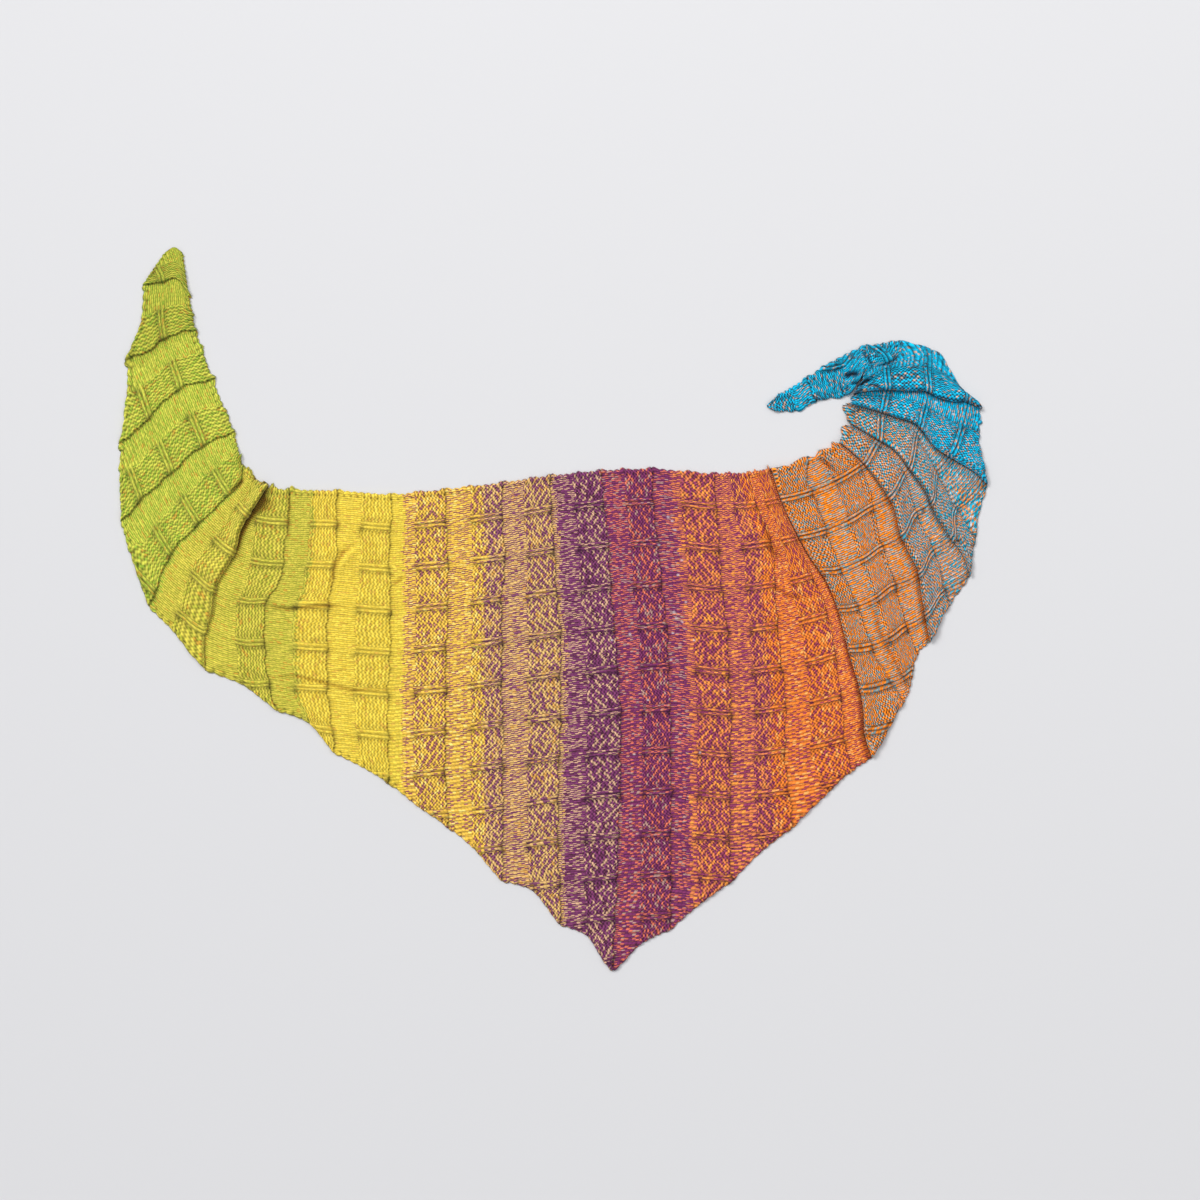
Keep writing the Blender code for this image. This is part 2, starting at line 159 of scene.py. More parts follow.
# creases of the laid cloth: line in drawing units, height (mm, below 0 a trough),
# half width before and after the line (units, looking along it: left, right)
CREASES = (
    # name, line, height, left width, right width, shade
    ("wing_roll", ((206, 668), (222, 664), (246, 667), (270, 675)), 1.6, 5.0, 3.0, 0.0),
    ("yellow_fold", ((354, 545), (342, 553), (334, 566), (331, 588)), -1.6, 2.2, 2.2, 0.40),
    ("yellow_fold_ridge", ((359, 549), (347, 558), (340, 571)), 1.4, 3.0, 3.0, 0.0),
    ("yellow_crease", ((262, 606), (290, 609), (318, 606), (346, 607)), -1.4, 2.0, 2.0, 0.42),
    ("yellow_crease_low", ((268, 677), (296, 676), (330, 684), (352, 690), (392, 690)), -1.2, 1.8, 1.8, 0.36),
    ("yellow_crease_right", ((405, 575), (392, 586)), -1.0, 2.0, 2.0, 0.30),
    ("wing_band", ((269, 603), (285, 606), (302, 605), (329, 602)), 1.8, 3.0, 5.0, 0.0),
    ("rust_dent", ((764, 540), (772, 551), (781, 560)), -2.6, 5.0, 3.5, 0.42),
    ("rust_line", ((760, 515), (766, 531), (772, 546)), -1.4, 1.6, 1.6, 0.50),
    ("rust_lip", ((750, 478), (757, 502), (767, 527), (777, 547)), 2.6, 3.0, 8.0, 0.0),
    ("rust_small", ((774, 580), (793, 592), (804, 594)), 2.0, 3.0, 5.0, 0.0),
    ("rust_small_under", ((772, 585), (788, 596), (803, 599)), -1.0, 1.8, 1.8, 0.35),
    ("fan_short", ((817, 457), (827, 464), (838, 474)), -2.6, 2.2, 2.2, 0.48),
    ("fan_groove", ((866, 600), (875, 612), (881, 635), (895, 662), (909, 692)), -1.8, 2.6, 2.6, 0.36),
    ("blue_step_a", ((888, 388), (908, 388.5), (927, 390)), -1.0, 1.4, 1.4, 0.50),
    ("blue_step_b", ((933, 396), (952, 400), (970, 403)), -1.0, 1.4, 1.4, 0.50),
    ("knot_hollow", ((844, 378), (850.8, 373.8), (860, 374.3)), -3.4, 3.0, 2.8, 0.99),
    ("knot_strand", ((846, 382.5), (853.8, 381), (858.3, 378), (866, 372)), 2.6, 1.4, 1.4, 0.0),
    ("knot_under", ((849.5, 385), (856.8, 383.5), (861, 380.5)), -1.6, 1.1, 1.1, 0.85),
    ("knot_hollow_b", ((857.5, 388), (863.5, 382.5), (871.5, 380)), -2.8, 2.0, 1.8, 0.97),
    ("knot_side", ((838.5, 381), (840.8, 388.5), (845.5, 393.5)), -1.6, 1.2, 1.2, 0.70),
    ("knot_side_b", ((847.5, 384.5), (846.3, 392)), -1.4, 1.1, 1.1, 0.75),
    ("knot_foot", ((849.5, 398), (857.5, 392.5), (861.5, 387)), -1.8, 1.7, 1.7, 0.80),
    ("knot_fold", ((863, 389), (871, 385.2), (876.2, 388), (884, 390.5)), -1.4, 1.4, 1.4, 0.72),
    ("knot_crease", ((861, 351), (867.2, 357.2), (872, 366.5)), -1.6, 1.5, 1.5, 0.68),
    ("knot_crease_ridge", ((857, 353), (863, 359), (867, 367)), 1.6, 2.2, 2.2, 0.0),
    ("tip_crease", ((825, 371.8), (834.4, 370.6), (844, 367.5)), -1.2, 1.2, 1.2, 0.60),
    ("tip_step", ((878, 366.5), (889.6, 363.4), (899, 356.5)), -1.2, 1.5, 1.5, 0.62),
    ("pleat_step", ((244, 479), (238, 486), (230, 493)), -2.4, 2.6, 2.6, 0.66),
    ("pleat_roll", ((252, 477), (246, 486), (240, 495)), 1.6, 4.0, 4.0, 0.0),
    ("band_seven", ((289, 490), (289, 515), (287, 540)), -0.8, 1.3, 1.3, 0.40),
)
LUMPS = (
    # x, y, half widths (units), height (mm, below 0 a hollow), shade
    (243, 461, 3.0, 4.0, -1.8, 0.70), (256, 477.5, 3.2, 2.2, -2.0, 0.70), (254, 469, 3.0, 2.6, 3.0, 0.0),
    (272, 482, 2.8, 2.8, 2.8, 0.0), (264, 484, 2.0, 2.2, -1.6, 0.45), (293, 488, 2.4, 2.0, 2.0, 0.0),
    (774, 552, 5.0, 5.5, -1.4, 0.40), (800, 540, 2.6, 2.6, -1.0, 0.50),
    (842, 386, 3.0, 4.4, 2.2, 0.0), (853, 389, 4.6, 2.6, 2.4, 0.0), (866, 377, 4.6, 3.0, 2.0, 0.0),
    (853, 413, 1.8, 1.4, -1.2, 0.75), (858, 411, 1.2, 1.6, -1.2, 0.75), (849, 407, 3.0, 3.0, 2.2, 0.0),
    (932, 510, 3.0, 3.0, 1.0, 0.0), (923.5, 511, 2.2, 3.2, -1.2, 0.45),
    (958, 541, 2.8, 2.6, -1.2, 0.60), (977.5, 406, 1.5, 1.5, -1.0, 0.65), (980, 403, 2.4, 2.4, 1.6, 0.0),
    (756, 470, 2.2, 2.0, 2.0, 0.0), (768, 469, 2.2, 2.0, 2.0, 0.0), (803, 458, 2.4, 2.2, 2.2, 0.0),
    (821, 451.5, 2.4, 2.0, 2.0, 0.0), (827, 447, 2.2, 2.0, 2.0, 0.0), (842.5, 431, 2.6, 2.4, 2.4, 0.0),
    (847, 412, 2.4, 2.4, 2.2, 0.0),
)


# ------------------------------------------------------------------- plan
def soft(a, b, x):
    s = np.clip((np.asarray(x, float) - a) / (b - a), 0.0, 1.0)
    return s * s * (3.0 - 2.0 * s)


SHARES = np.linspace(0.0, 1.0, 161)


def smooth_row(line, shares):
    p = np.array(line, float)
    d = np.r_[0.0, np.cumsum(np.hypot(*np.diff(p, axis=0).T))]
    m = np.empty_like(p)
    m[1:-1] = (p[2:] - p[:-2]) / (d[2:] - d[:-2])[:, None]
    m[0] = (p[1] - p[0]) / (d[1] - d[0])
    m[-1] = (p[-1] - p[-2]) / (d[-1] - d[-2])
    t = np.linspace(0.0, d[-1], 241)
    i = np.clip(np.searchsorted(d, t, side="right") - 1, 0, len(d) - 2)
    h = d[i + 1] - d[i]
    s = (t - d[i]) / h
    q = ((2 * s**3 - 3 * s**2 + 1)[:, None] * p[i] + ((s**3 - 2 * s**2 + s) * h)[:, None] * m[i]
         + (3 * s**2 - 2 * s**3)[:, None] * p[i + 1] + ((s**3 - s**2) * h)[:, None] * m[i + 1])
    run = np.r_[0.0, np.cumsum(np.hypot(*np.diff(q, axis=0).T))]
    v = np.asarray(shares) * run[-1]
    return np.c_[np.interp(v, run, q[:, 0]), np.interp(v, run, q[:, 1])]


def known_rows():
    known = {band: smooth_row(line, SHARES) for band, line in ROW_LINES}
    bands = sorted(known)
    pull = soft(0.86, 1.0, SHARES)
    for band, x, y in RIM:
        before = max(b for b in bands if b <= band)
        after = min(b for b in bands if b >= band)
        f = (band - before) / (after - before) if after > before else 0.0
        row = known[before] * (1 - f) + known[after] * f
        known[band] = row + pull[:, None] * (np.array([x, y]) - row[-1])
    bands = np.array(sorted(known))
    return bands, np.array([known[b] for b in bands])


BANDS, KNOWN = known_rows()


def straight(band):
    """The row at any band, straight between the known rows, in drawing units."""
    i = int(np.clip(np.searchsorted(BANDS, band, side="right") - 1, 0, len(BANDS) - 2))
    f = (band - BANDS[i]) / (BANDS[i + 1] - BANDS[i])
    return KNOWN[i] * (1 - f) + KNOWN[i + 1] * f


def through(knots, values, at):
    """Smooth curve through values at the knots that never overshoots them."""
    h = np.diff(knots)[:, None, None]
    slope = np.diff(values, axis=0) / h
    m = np.zeros_like(values)
    a, b = slope[:-1], slope[1:]
    w1, w2 = 2 * h[1:] + h[:-1], h[1:] + 2 * h[:-1]
    same = a * b > 0
    with np.errstate(divide="ignore", invalid="ignore"):
        mean = (w1 + w2) / (w1 / a + w2 / b)
    m[1:-1] = np.where(same, mean, 0.0)
    m[0], m[-1] = slope[0], slope[-1]
    i = np.clip(np.searchsorted(knots, at, side="right") - 1, 0, len(knots) - 2)
    hi = h[i]
    s = ((at - knots[i]) / (knots[i + 1] - knots[i]))[:, None, None]
    return ((2 * s**3 - 3 * s**2 + 1) * values[i] + (s**3 - 2 * s**2 + s) * hi * m[i]
            + (3 * s**2 - 2 * s**3) * values[i + 1] + (s**3 - s**2) * hi * m[i + 1])


class Plan:
    """Plan positions of the rows between two folds, and of the tongue past either end."""

    STEP = 1 / 64

    def __init__(self, first, last):
        inside = (BANDS > first - 1e-6) & (BANDS < last + 1e-6)
        knots, rows = list(BANDS[inside]), list(KNOWN[inside])
        if knots[0] > first + 1e-6:
            knots.insert(0, first)
            rows.insert(0, straight(first))
        if first > 0:
            knots.insert(0, first - 0.3)
            rows.insert(0, straight(first - 0.3))
        if last < 26:
            knots.append(last + 0.3)
            rows.append(straight(last + 0.3))
        self.low = knots[0]
        grid = np.arange(knots[0], knots[-1] + self.STEP * 0.5, self.STEP)
        self.rows = through(np.array(knots), np.array(rows), grid)
        # even steps of length along every row
        run = np.r_["1", np.zeros((len(grid), 1)), np.cumsum(np.hypot(*np.moveaxis(np.diff(self.rows, axis=1), 2, 0)), axis=1)]
        self.length = run[:, -1]
        for k in range(len(grid)):
            v = SHARES * run[k, -1]
            self.rows[k] = np.c_[np.interp(v, run[k], self.rows[k, :, 0]), np.interp(v, run[k], self.rows[k, :, 1])]

    def lengths(self, u):
        return np.interp((u - self.low) / self.STEP, np.arange(len(self.length)), self.length)

    def at(self, u, v):
        """Drawing units of the points at bands u and shares v; a share outside 0 to 1 runs on straight."""
        t = (u - self.low) / self.STEP
        i = np.clip(np.floor(t).astype(int), 0, len(self.length) - 2)
        f = (t - i)[:, None]
        w = v * (len(SHARES) - 1)
        j = np.clip(np.floor(w).astype(int), 0, len(SHARES) - 2)
        g = (w - j)[:, None]
        r = self.rows
        return ((r[i, j] * (1 - g) + r[i, j + 1] * g) * (1 - f)
                + (r[i + 1, j] * (1 - g) + r[i + 1, j + 1] * g) * f)


def away(plan, band, step, v):
    """Distance in metres between the row at this band and the one `step` bands on."""
    here = plan.at(np.full_like(v, band), v)
    there = plan.at(np.full_like(v, band + step), v)
    return np.maximum(np.hypot(*(there - here).T) * UNIT, 1e-4)


def lap_of(plan, fold, v):
    reach = fold[3] if fold[1] == "after" else -fold[3]
    here = straight(fold[0])
    there = straight(fold[0] + reach)
    far = np.interp(v, SHARES, np.hypot(*(there - here).T)) * UNIT
    return np.clip(0.6 * far - 0.0014, 0.0006, LAP)


# ---------------------------------------------------------------- surface
def stitches(s):
    """Stitch coordinate of a length along the row: the double ridges fall on 8, 18, 28..."""
    return (s - 32.0) / ST + 8.0


def purl(r):
    """1 in the purl rows of a band, 0 in its plain rows."""
    f = np.mod(r, 16.0)
    return soft(6.6, 7.5, f) * (1 - soft(15.8, 16.0, f))


def ridge(c):
    """1 on the two plain wales that stand up through every purl block."""
    m = np.abs(np.mod(c - 8.0 + 5.0, 10.0) - 5.0)
    return 1 - soft(0.85, 1.15, m)


def relief(r, c):
    """Height of the knitting over its ground, in metres, from blocks down to stitches."""
    f = np.mod(r, 16.0)
    p = purl(r)
    m = np.abs(np.mod(c - 8.0 + 5.0, 10.0) - 5.0)
    k = 1 - p * (1 - ridge(c))
    x, y = c - np.floor(c), r - np.floor(r)
    leg = np.abs(np.sin(2 * np.pi * x)) ** 0.8 * (0.60 + 0.40 * (0.5 - 0.5 * np.cos(2 * np.pi * y)))
    # purl side: interlocked arcs with staggered hollows between them
    arcs = 0.5 - 0.5 * np.cos(2 * np.pi * x) * np.sin(2 * np.pi * y) - 0.18 * np.cos(2 * np.pi * y)
    on = np.maximum(p, RUN_ON + FAN_RUN * soft(277.0, 281.0, r))
    cord = on * (m < 1.0)
    fine = (1 - cord) * (k * leg * 0.00085 + (1 - k) * arcs * 0.00095) + cord * np.sin(np.pi * x) ** 1.5 * 0.00090
    strong = 0.62 + 0.55 * (1 - soft(92.0, 116.0, r)) + 0.14 * soft(277.0, 281.0, r)
    ground = 0.00165 + 0.00080 * p * strong
    ground += 0.00080 * strong * np.exp(-((f - 15.1) / 0.9) ** 2)          # last purl row stands up
    ground -= 0.00060 * strong * np.exp(-(f / 0.9) ** 2)                   # and the next plain row tucks under it
    ground += strong * on * (0.00060 * np.exp(-(m / 1.0) ** 4) - 0.00065 * np.exp(-((m - 1.5) / 0.45) ** 2))
    return ground, fine


def waves(x, y):
    """Gentle unevenness of laid cloth, in metres."""
    z = np.zeros_like(x)
    for kx, ky, phase, height in ((0.045, 0.018, 0.3, 0.00045), (-0.021, 0.052, 1.7, 0.00045), (0.083, -0.047, 4.1, 0.00030),
                                  (0.031, 0.094, 2.6, 0.00030), (0.128, 0.071, 5.2, 0.00018), (-0.104, 0.133, 0.9, 0.00018)):
        z += height * np.sin(kx * x + ky * y + phase)
    return z


def creases(x, y):
    """Height (m) and shade of the creases, hollows and lumps."""
    z = np.zeros_like(x)
    dark = np.zeros_like(x)
    for _, line, height, left, right, shade in CREASES:
        p = np.array(line, float)
        near = (x > p[:, 0].min() - 25) & (x < p[:, 0].max() + 25) & (y > p[:, 1].min() - 25) & (y < p[:, 1].max() + 25)
        if not near.any():
            continue
        qx, qy = x[near], y[near]
        best = np.full(qx.shape, 1e9)
        side = np.zeros(qx.shape)
        along = np.zeros(qx.shape)
        run = np.r_[0.0, np.cumsum(np.hypot(*np.diff(p, axis=0).T))]
        for k in range(len(p) - 1):
            a, d = p[k], p[k + 1] - p[k]
            n = np.hypot(*d)
            t = np.clip(((qx - a[0]) * d[0] + (qy - a[1]) * d[1]) / n**2, 0, 1)
            ex, ey = qx - a[0] - t * d[0], qy - a[1] - t * d[1]
            dist = np.hypot(ex, ey)
            closer = dist < best
            best = np.where(closer, dist, best)
            side = np.where(closer, d[0] * ey - d[1] * ex, side)
            along = np.where(closer, run[k] + t * n, along)
        width = np.where(side < 0, left, right)
        fade = soft(0.0, 0.25, along / run[-1]) * (1 - soft(0.75, 1.0, along / run[-1])) * 0.75 + 0.25
        form = np.exp(-(best / width) ** 2) * fade
        z[near] += height * 0.001 * form
        dark[near] = np.maximum(dark[near], shade * form)
    for lx, ly, wide, tall, height, shade in LUMPS:
        form = np.exp(-(((x - lx) / wide) ** 2 + ((y - ly) / tall) ** 2))
        z += height * 0.001 * form
        dark = np.maximum(dark, shade * form)
    return z, dark


def gather(x, y):
    z = np.zeros_like(x)
    for gx, gy, spread, height in GATHER:
        z += height * np.exp(-((x - gx) ** 2 + (y - gy) ** 2) / (2 * spread**2))
    return z


def over_share(heights, v):
    return np.interp(v, (0.0, 0.5, 1.0), heights)


# --------------------------------------------------------------- stations
class Station:
    """One mesh row: its row count, its plan bands, and how its top is shaped."""

    def __init__(self, r, band, base=None, turn=None, hidden=False, length_at=None):
        self.r = r                    # knitted row
        self.band = band              # function of share: band in the plan
        self.base = base              # function of share: extra height of the ground (m)
        self.turn = turn              # (angle, half depth fn, middle fn, half height fn) on a nose
        self.hidden = hidden          # tongue rows under a nose
        self.length_at = length_at    # band whose row length is used


def stations_of(plan, r0, r1):
    first, last = r0 / 16, r1 / 16
    start = next((f for f in FOLDS if abs(f[0] - first) < 1e-6), None)
    finish = next((f for f in FOLDS if abs(f[0] - last) < 1e-6), None)
    step = 1.0 / PER_ROW
    out = []
    under = []                        # underside rows: (station index, band fn, height fn)
    begin, end = r0, r1
    zero = lambda v: np.zeros_like(v)

    def start_band(u_of_a):
        """Bands that make room for the nose and come back to the even count."""
        def make(r):
            top = 16 * (first + 0.40)
            g = np.clip((r - begin_r) / (top - begin_r), 0, 1)
            return lambda v: np.where(r < top, u_of_a(v) * (1 - g) + (first + 0.40) * g, r / 16)
        return make

    band_at = lambda r: (lambda v: np.full_like(v, r / 16))
    base_at = lambda r: None
    if start and start[1] == "after":
        lap = lambda v: lap_of(plan, start, v)
        depth = lambda v: 0.5 * lap(v)
        crest = lambda v: over_share(start[2], v)
        middle = lambda v: (LAP_Z + 0.0004 + crest(v)) / 2 - 0.0012
        rise = lambda v: (crest(v) - LAP_Z - 0.0004) / 2 - 0.0012
        far = lambda v: away(plan, first, 0.3, v)
        mid = np.array([0.5])
        quarter = float((depth(mid) + rise(mid))[0]) * math.pi / 4 / ROW_M
        turns = 14
        for k in range(turns):
            angle = -math.pi / 2 + math.pi * k / turns
            d = lambda v, angle=angle: depth(v) * (1 - math.cos(angle))
            out.append(Station(r0 + quarter * (2 * k / turns - 1) + quarter, lambda v, d=d: first + 0.3 * d(v) / far(v),
                               turn=(angle, depth, middle, rise, 1, far), length_at=first))
        begin_r = r0 + 2 * quarter
        make = start_band(lambda v: first + 0.3 * depth(v) / far(v))
        band_at = make
        reach = start[3]

        def base_at(r):
            def base(v):
                u = band_at(r)(v)
                lift = np.maximum(crest(v) - BLOCK, 0.0)
                return lift * (1 - soft(0.10, 1.0, (u - first) / reach))
            return base
        begin = begin_r
        under.append((0, lambda v: first + 0.3 * (depth(v) + 0.2 * (lap(v) + 0.0005 - depth(v))) / far(v), LAP_Z))
        under.append((turns // 2, lambda v: first + 0.3 * (lap(v) + 0.0005) / far(v), LAP_Z))
        under.append((turns, lambda v: first + 0.3 * (lap(v) + 0.0014) / far(v), 0.0))
    elif start:
        # tongue under the neighbour's nose
        lap = lambda v: np.maximum(lap_of(plan, start, v) * (1 - soft(0.50, 0.62, v)), 0.0010)
        far = lambda v: away(plan, first, -0.3, v)
        count = 6
        for k in range(count):
            g = 1 - k / count
            out.append(Station(r0 - g * 1.5, lambda v, g=g: first - 0.3 * lap(v) * g / far(v), hidden=True, length_at=first))
        under.append((0, out[0].band, 0.0))

    nose_end = []
    if finish and finish[1] == "before":
        crest_e = lambda v: over_share(finish[2], v)
        up = lambda v: 1 - soft(0.52, 0.68, v)
        lap_e = lambda v: lap_of(plan, finish, v)
        depth_e = lambda v: 0.5 * lap_e(v) * up(v) + 0.0004
        low_e = lambda v: (LAP_Z + 0.0004) * up(v) + 0.0004
        middle_e = lambda v: (low_e(v) + np.maximum(crest_e(v), BLOCK)) / 2 - 0.0010
        rise_e = lambda v: (np.maximum(crest_e(v), BLOCK) - low_e(v)) / 2 - 0.0010
        far_e = lambda v: away(plan, last, -0.3, v)
        mid = np.array([0.3])
        quarter_e = float((depth_e(mid) + rise_e(mid))[0]) * math.pi / 4 / ROW_M
        end = r1 - 2 * quarter_e
        turns_e = 16
        for k in range(1, turns_e + 1):
            angle = math.pi / 2 - math.pi * k / turns_e
            d = lambda v, angle=angle: depth_e(v) * (1 - math.cos(angle))
            nose_end.append(Station(end + 2 * quarter_e * k / turns_e, lambda v, d=d: last - 0.3 * d(v) / far_e(v),
                                    turn=(angle, depth_e, middle_e, rise_e, -1, far_e), length_at=last))
        low_r = 16 * (last - 0.40)

        def band_at(r, before=band_at):
            if r <= low_r:
                return before(r)
            g = (r - low_r) / (end - low_r)
            return lambda v: (last - 0.40) * (1 - g) + (last - 0.3 * depth_e(v) / far_e(v)) * g

        def base_at(r):
            def base(v):
                u = band_at(r)(v)
                lift = np.maximum(crest_e(v) - BLOCK, 0.0)
                return lift * (1 - soft(0.05, 1.15, (last - u) / finish[3]))
            return base if r > 16 * (last - 0.6) else None

    # rows between
    rows = [begin]
    k = math.ceil((begin + 0.3 * step) / step)
    while k * step < end - 0.3 * step:
        rows.append(k * step)
        k += 1
    rows.append(end)
    main_start = len(out)
    for r in rows:
        out.append(Station(r, band_at(r), base_at(r)))
    main_end = len(out) - 1
    if not under:
        under.append((0, out[0].band, 0.0))
    low_limit = 16 * (first + 0.30) if start and start[1] == "after" else r0 + 0.5
    high_limit = 16 * (last - 0.30) if finish and finish[1] == "before" else r1 - 0.5
    last_used = None
    for i in range(main_start, main_end):
        r = out[i].r
        if low_limit < r < high_limit and (last_used is None or r - last_used >= 2.0):
            under.append((i, out[i].band, 0.0))
            last_used = r

    if nose_end:
        base_index = len(out)
        out += nose_end
        n = turns_e
        hide = lambda v: (lap_e(v) + 0.0014) * up(v) + 0.0022
        under.append((base_index, lambda v: last - 0.3 * hide(v) / far_e(v), 0.0))
        under.append((base_index + n // 2, lambda v: last - 0.3 * (hide(v) * 0.93) / far_e(v), lambda v: LAP_Z * up(v)))
        under.append((base_index + n - 1, lambda v: last - 0.3 * (depth_e(v) + 0.25 * (hide(v) - depth_e(v))) / far_e(v), lambda v: LAP_Z * up(v)))
    elif finish:
        lap = lambda v: lap_of(plan, finish, v)
        far = lambda v: away(plan, last, 0.3, v)
        count = 6
        for k in range(1, count + 1):
            g = k / count
            out.append(Station(r1 + g * 1.5, lambda v, g=g: last + 0.3 * lap(v) * g / far(v), hidden=True, length_at=last))
        under.append((len(out) - 1, out[-1].band, 0.0))
    else:
        under.append((len(out) - 1, out[-1].band, 0.0))
    return out, under, start, finish


def knit_shell(name, plan, r0, r1):
    stations, under, start, finish = stations_of(plan, r0, r1)
    total_rows = 416.0
    pos, uv, bake, counts, dims, rims, wides = [], [], [], [], [], [], []
    n_st = len(stations)
    for i, st in enumerate(stations):
        band_mid = st.band(np.array([0.5]))[0] if st.length_at is None else st.length_at
        length = float(plan.lengths(band_mid))
        n = int(math.floor(length / (ST / PER_ST) - 0.35))
        s = np.r_[np.arange(n + 1) * (ST / PER_ST), length]
        v = s / length
        c = stitches(s)
        r = st.r
        x = c - np.floor(c)
        tuck = 0.0
        ends = np.zeros(len(s))
        # edges: a chain of slipped stitches above, small loops below, a knob at each band's end
        loop = abs(math.sin(math.pi * r / 2))
        f = r % 16.0
        knob = math.exp(-((min(f, 16 - f)) / 1.1) ** 2)
        slow = abs(math.sin(math.pi * r / 4 + 0.4))
        top_out = (1.9 * loop ** 0.8 - 1.0 if r < 285 else 2.6 * slow ** 0.8 - 1.4) + 2.4 * knob
        low_out = 2.0 * loop ** 0.8 + 2.4 * knob - 1.1
        for k_band, side, out, half in KNOBS:
            far_off = abs(r - 16 * k_band)
            if far_off < 3 * half:
                bulge = out * math.exp(-(far_off / half) ** 2)
                if side:
                    low_out += bulge
                else:
                    top_out += bulge
        if r < 1.0 or r > total_rows - 1:
            top_out = low_out = 0.0
        grow = np.zeros(len(s))
        grow[s < ST] = -top_out * (1 - s[s < ST] / ST)
        tail = length - s
        grow[tail < ST] += low_out * (1 - tail[tail < ST] / ST)
        v_out = v + grow / length
        # stitch legs lean: the mesh row zigzags with them
        knit = 1 - purl(np.full_like(c, r)) * (1 - ridge(c))
        lean = LEAN * (2 * np.abs(2 * x - 1) - 1) * knit
        inside = soft(r0 - 0.01, r0 + 1.0, r) * (1 - soft(r1 - 1.0, r1 + 0.01, r))
        if st.turn or st.hidden:
            inside = 0.0
        lean = lean * inside
        lean[-1] = 0.0
        band = st.band(np.clip(v, 0, 1))
        calm = min(1.0, min(abs(r - 16 * lip[0]) for lip in FOLDS) / 8.0, r / 8.0, (total_rows - r) / 8.0)
        wander = calm * WANDER * (0.5 * np.sin(0.83 * c + 0.11 * r) + 0.3 * np.sin(1.9 * c - 0.07 * r + 1.0) + 0.3 * np.sin(0.31 * c + 2.0))
        ground, fine = relief(np.full_like(c, r), c)
        # rounded edges
        w = 0.75 * ST
        edge = np.sqrt(np.clip(1 - (1 - np.clip(np.minimum(s, tail) / w, 0, 1)) ** 2, 0, 1))
        chain = np.exp(-((np.minimum(s, tail) - 0.5 * ST) / (0.4 * ST)) ** 2) * (0.0008 * loop + 0.0007 * knob)
        if st.turn:
            angle, depth, middle, rise, sense, far = st.turn
            bump = (ground - WALL + 0.0004) + fine
            if angle < 0:
                bump = bump * max(0.0, 1 + math.sin(angle)) * 0.8
            d = depth(v) * (1 - math.cos(angle)) - bump * math.cos(angle)
            lip = start[0] if sense > 0 else finish[0]
            band = lip + sense * 0.3 * d / far(v)
            z = middle(v) + (rise(v) + bump + 0.0008) * math.sin(angle)
            p = plan.at(band, v_out)
            if angle > 0:
                z = z + math.sin(angle) * (waves(p[:, 0], p[:, 1]) + gather(p[:, 0], p[:, 1]))
            low = middle(v) * 0.6
            z = np.maximum(low + (z - low) * (0.35 + 0.65 * edge), 0.0002)
            fold, dark = creases(p[:, 0], p[:, 1])
            z = z + fold * max(0.0, math.sin(angle)) * edge
            z = np.maximum(z, 0.0002)
            # painted shade on the nose: deepest on its underside, some on its steep flanks, added to the creases'
            # painted shade
            dim = dark + (1 - dark) * (0.60 * max(0.0, -math.sin(angle)) + 0.22 * max(0.0, math.cos(angle)) ** 2)
        elif st.hidden:
            p = plan.at(band, v_out)
            z = np.full_like(s, WALL - 0.0004)
            z = 0.0006 + (z - 0.0006) * edge
            # painted shade on the tongue rows hidden under the nose
            dim = np.full(len(s), 0.6)
            if start and start[1] == "before" and r < r0 + 1:
                dim = dim * (1 - soft(0.5, 0.65, v))
        else:
            p = plan.at(band + (lean + wander) / 16, v_out)
            z = ground + fine + chain
            if finish and finish[1] == "after":
                # dips to run on under the next stretch
                sink = soft(r1 - 1.6, r1 - 0.1, r)
                z = z * (1 - sink) + (WALL - 0.0002) * sink
            if start and start[1] == "before":
                sink = 1 - soft(r0 + 0.1, r0 + 1.2, r)
                z = z - 0.0005 * sink * (1 - soft(0.55, 0.7, v))
            fold, dark = creases(p[:, 0], p[:, 1])
            extra = waves(p[:, 0], p[:, 1]) + fold + gather(p[:, 0], p[:, 1])
            if st.base is not None:
                extra = extra + st.base(v)
            if finish and finish[1] == "after":
                extra = extra * (1 - soft(r1 - 2.0, r1 - 0.2, r))
            z = z + extra
            dim = dark
            # painted shade on the last rows as they run under the next stretch's lip, weaker by both edges in the last
            # fans
            if finish and finish[1] == "after":
                lip_shade_share = (0.35 + 0.65 * soft(0.08, 0.34, v)) * (1 - 0.45 * soft(0.62, 0.85, v)) if finish[0] > 20 else 1.0
                dim = np.maximum(dim, (0.50 if finish[0] > 18 else 0.62) * soft(r1 - 3.0, r1 - 0.4, r) * lip_shade_share)
            if start and start[1] == "before":
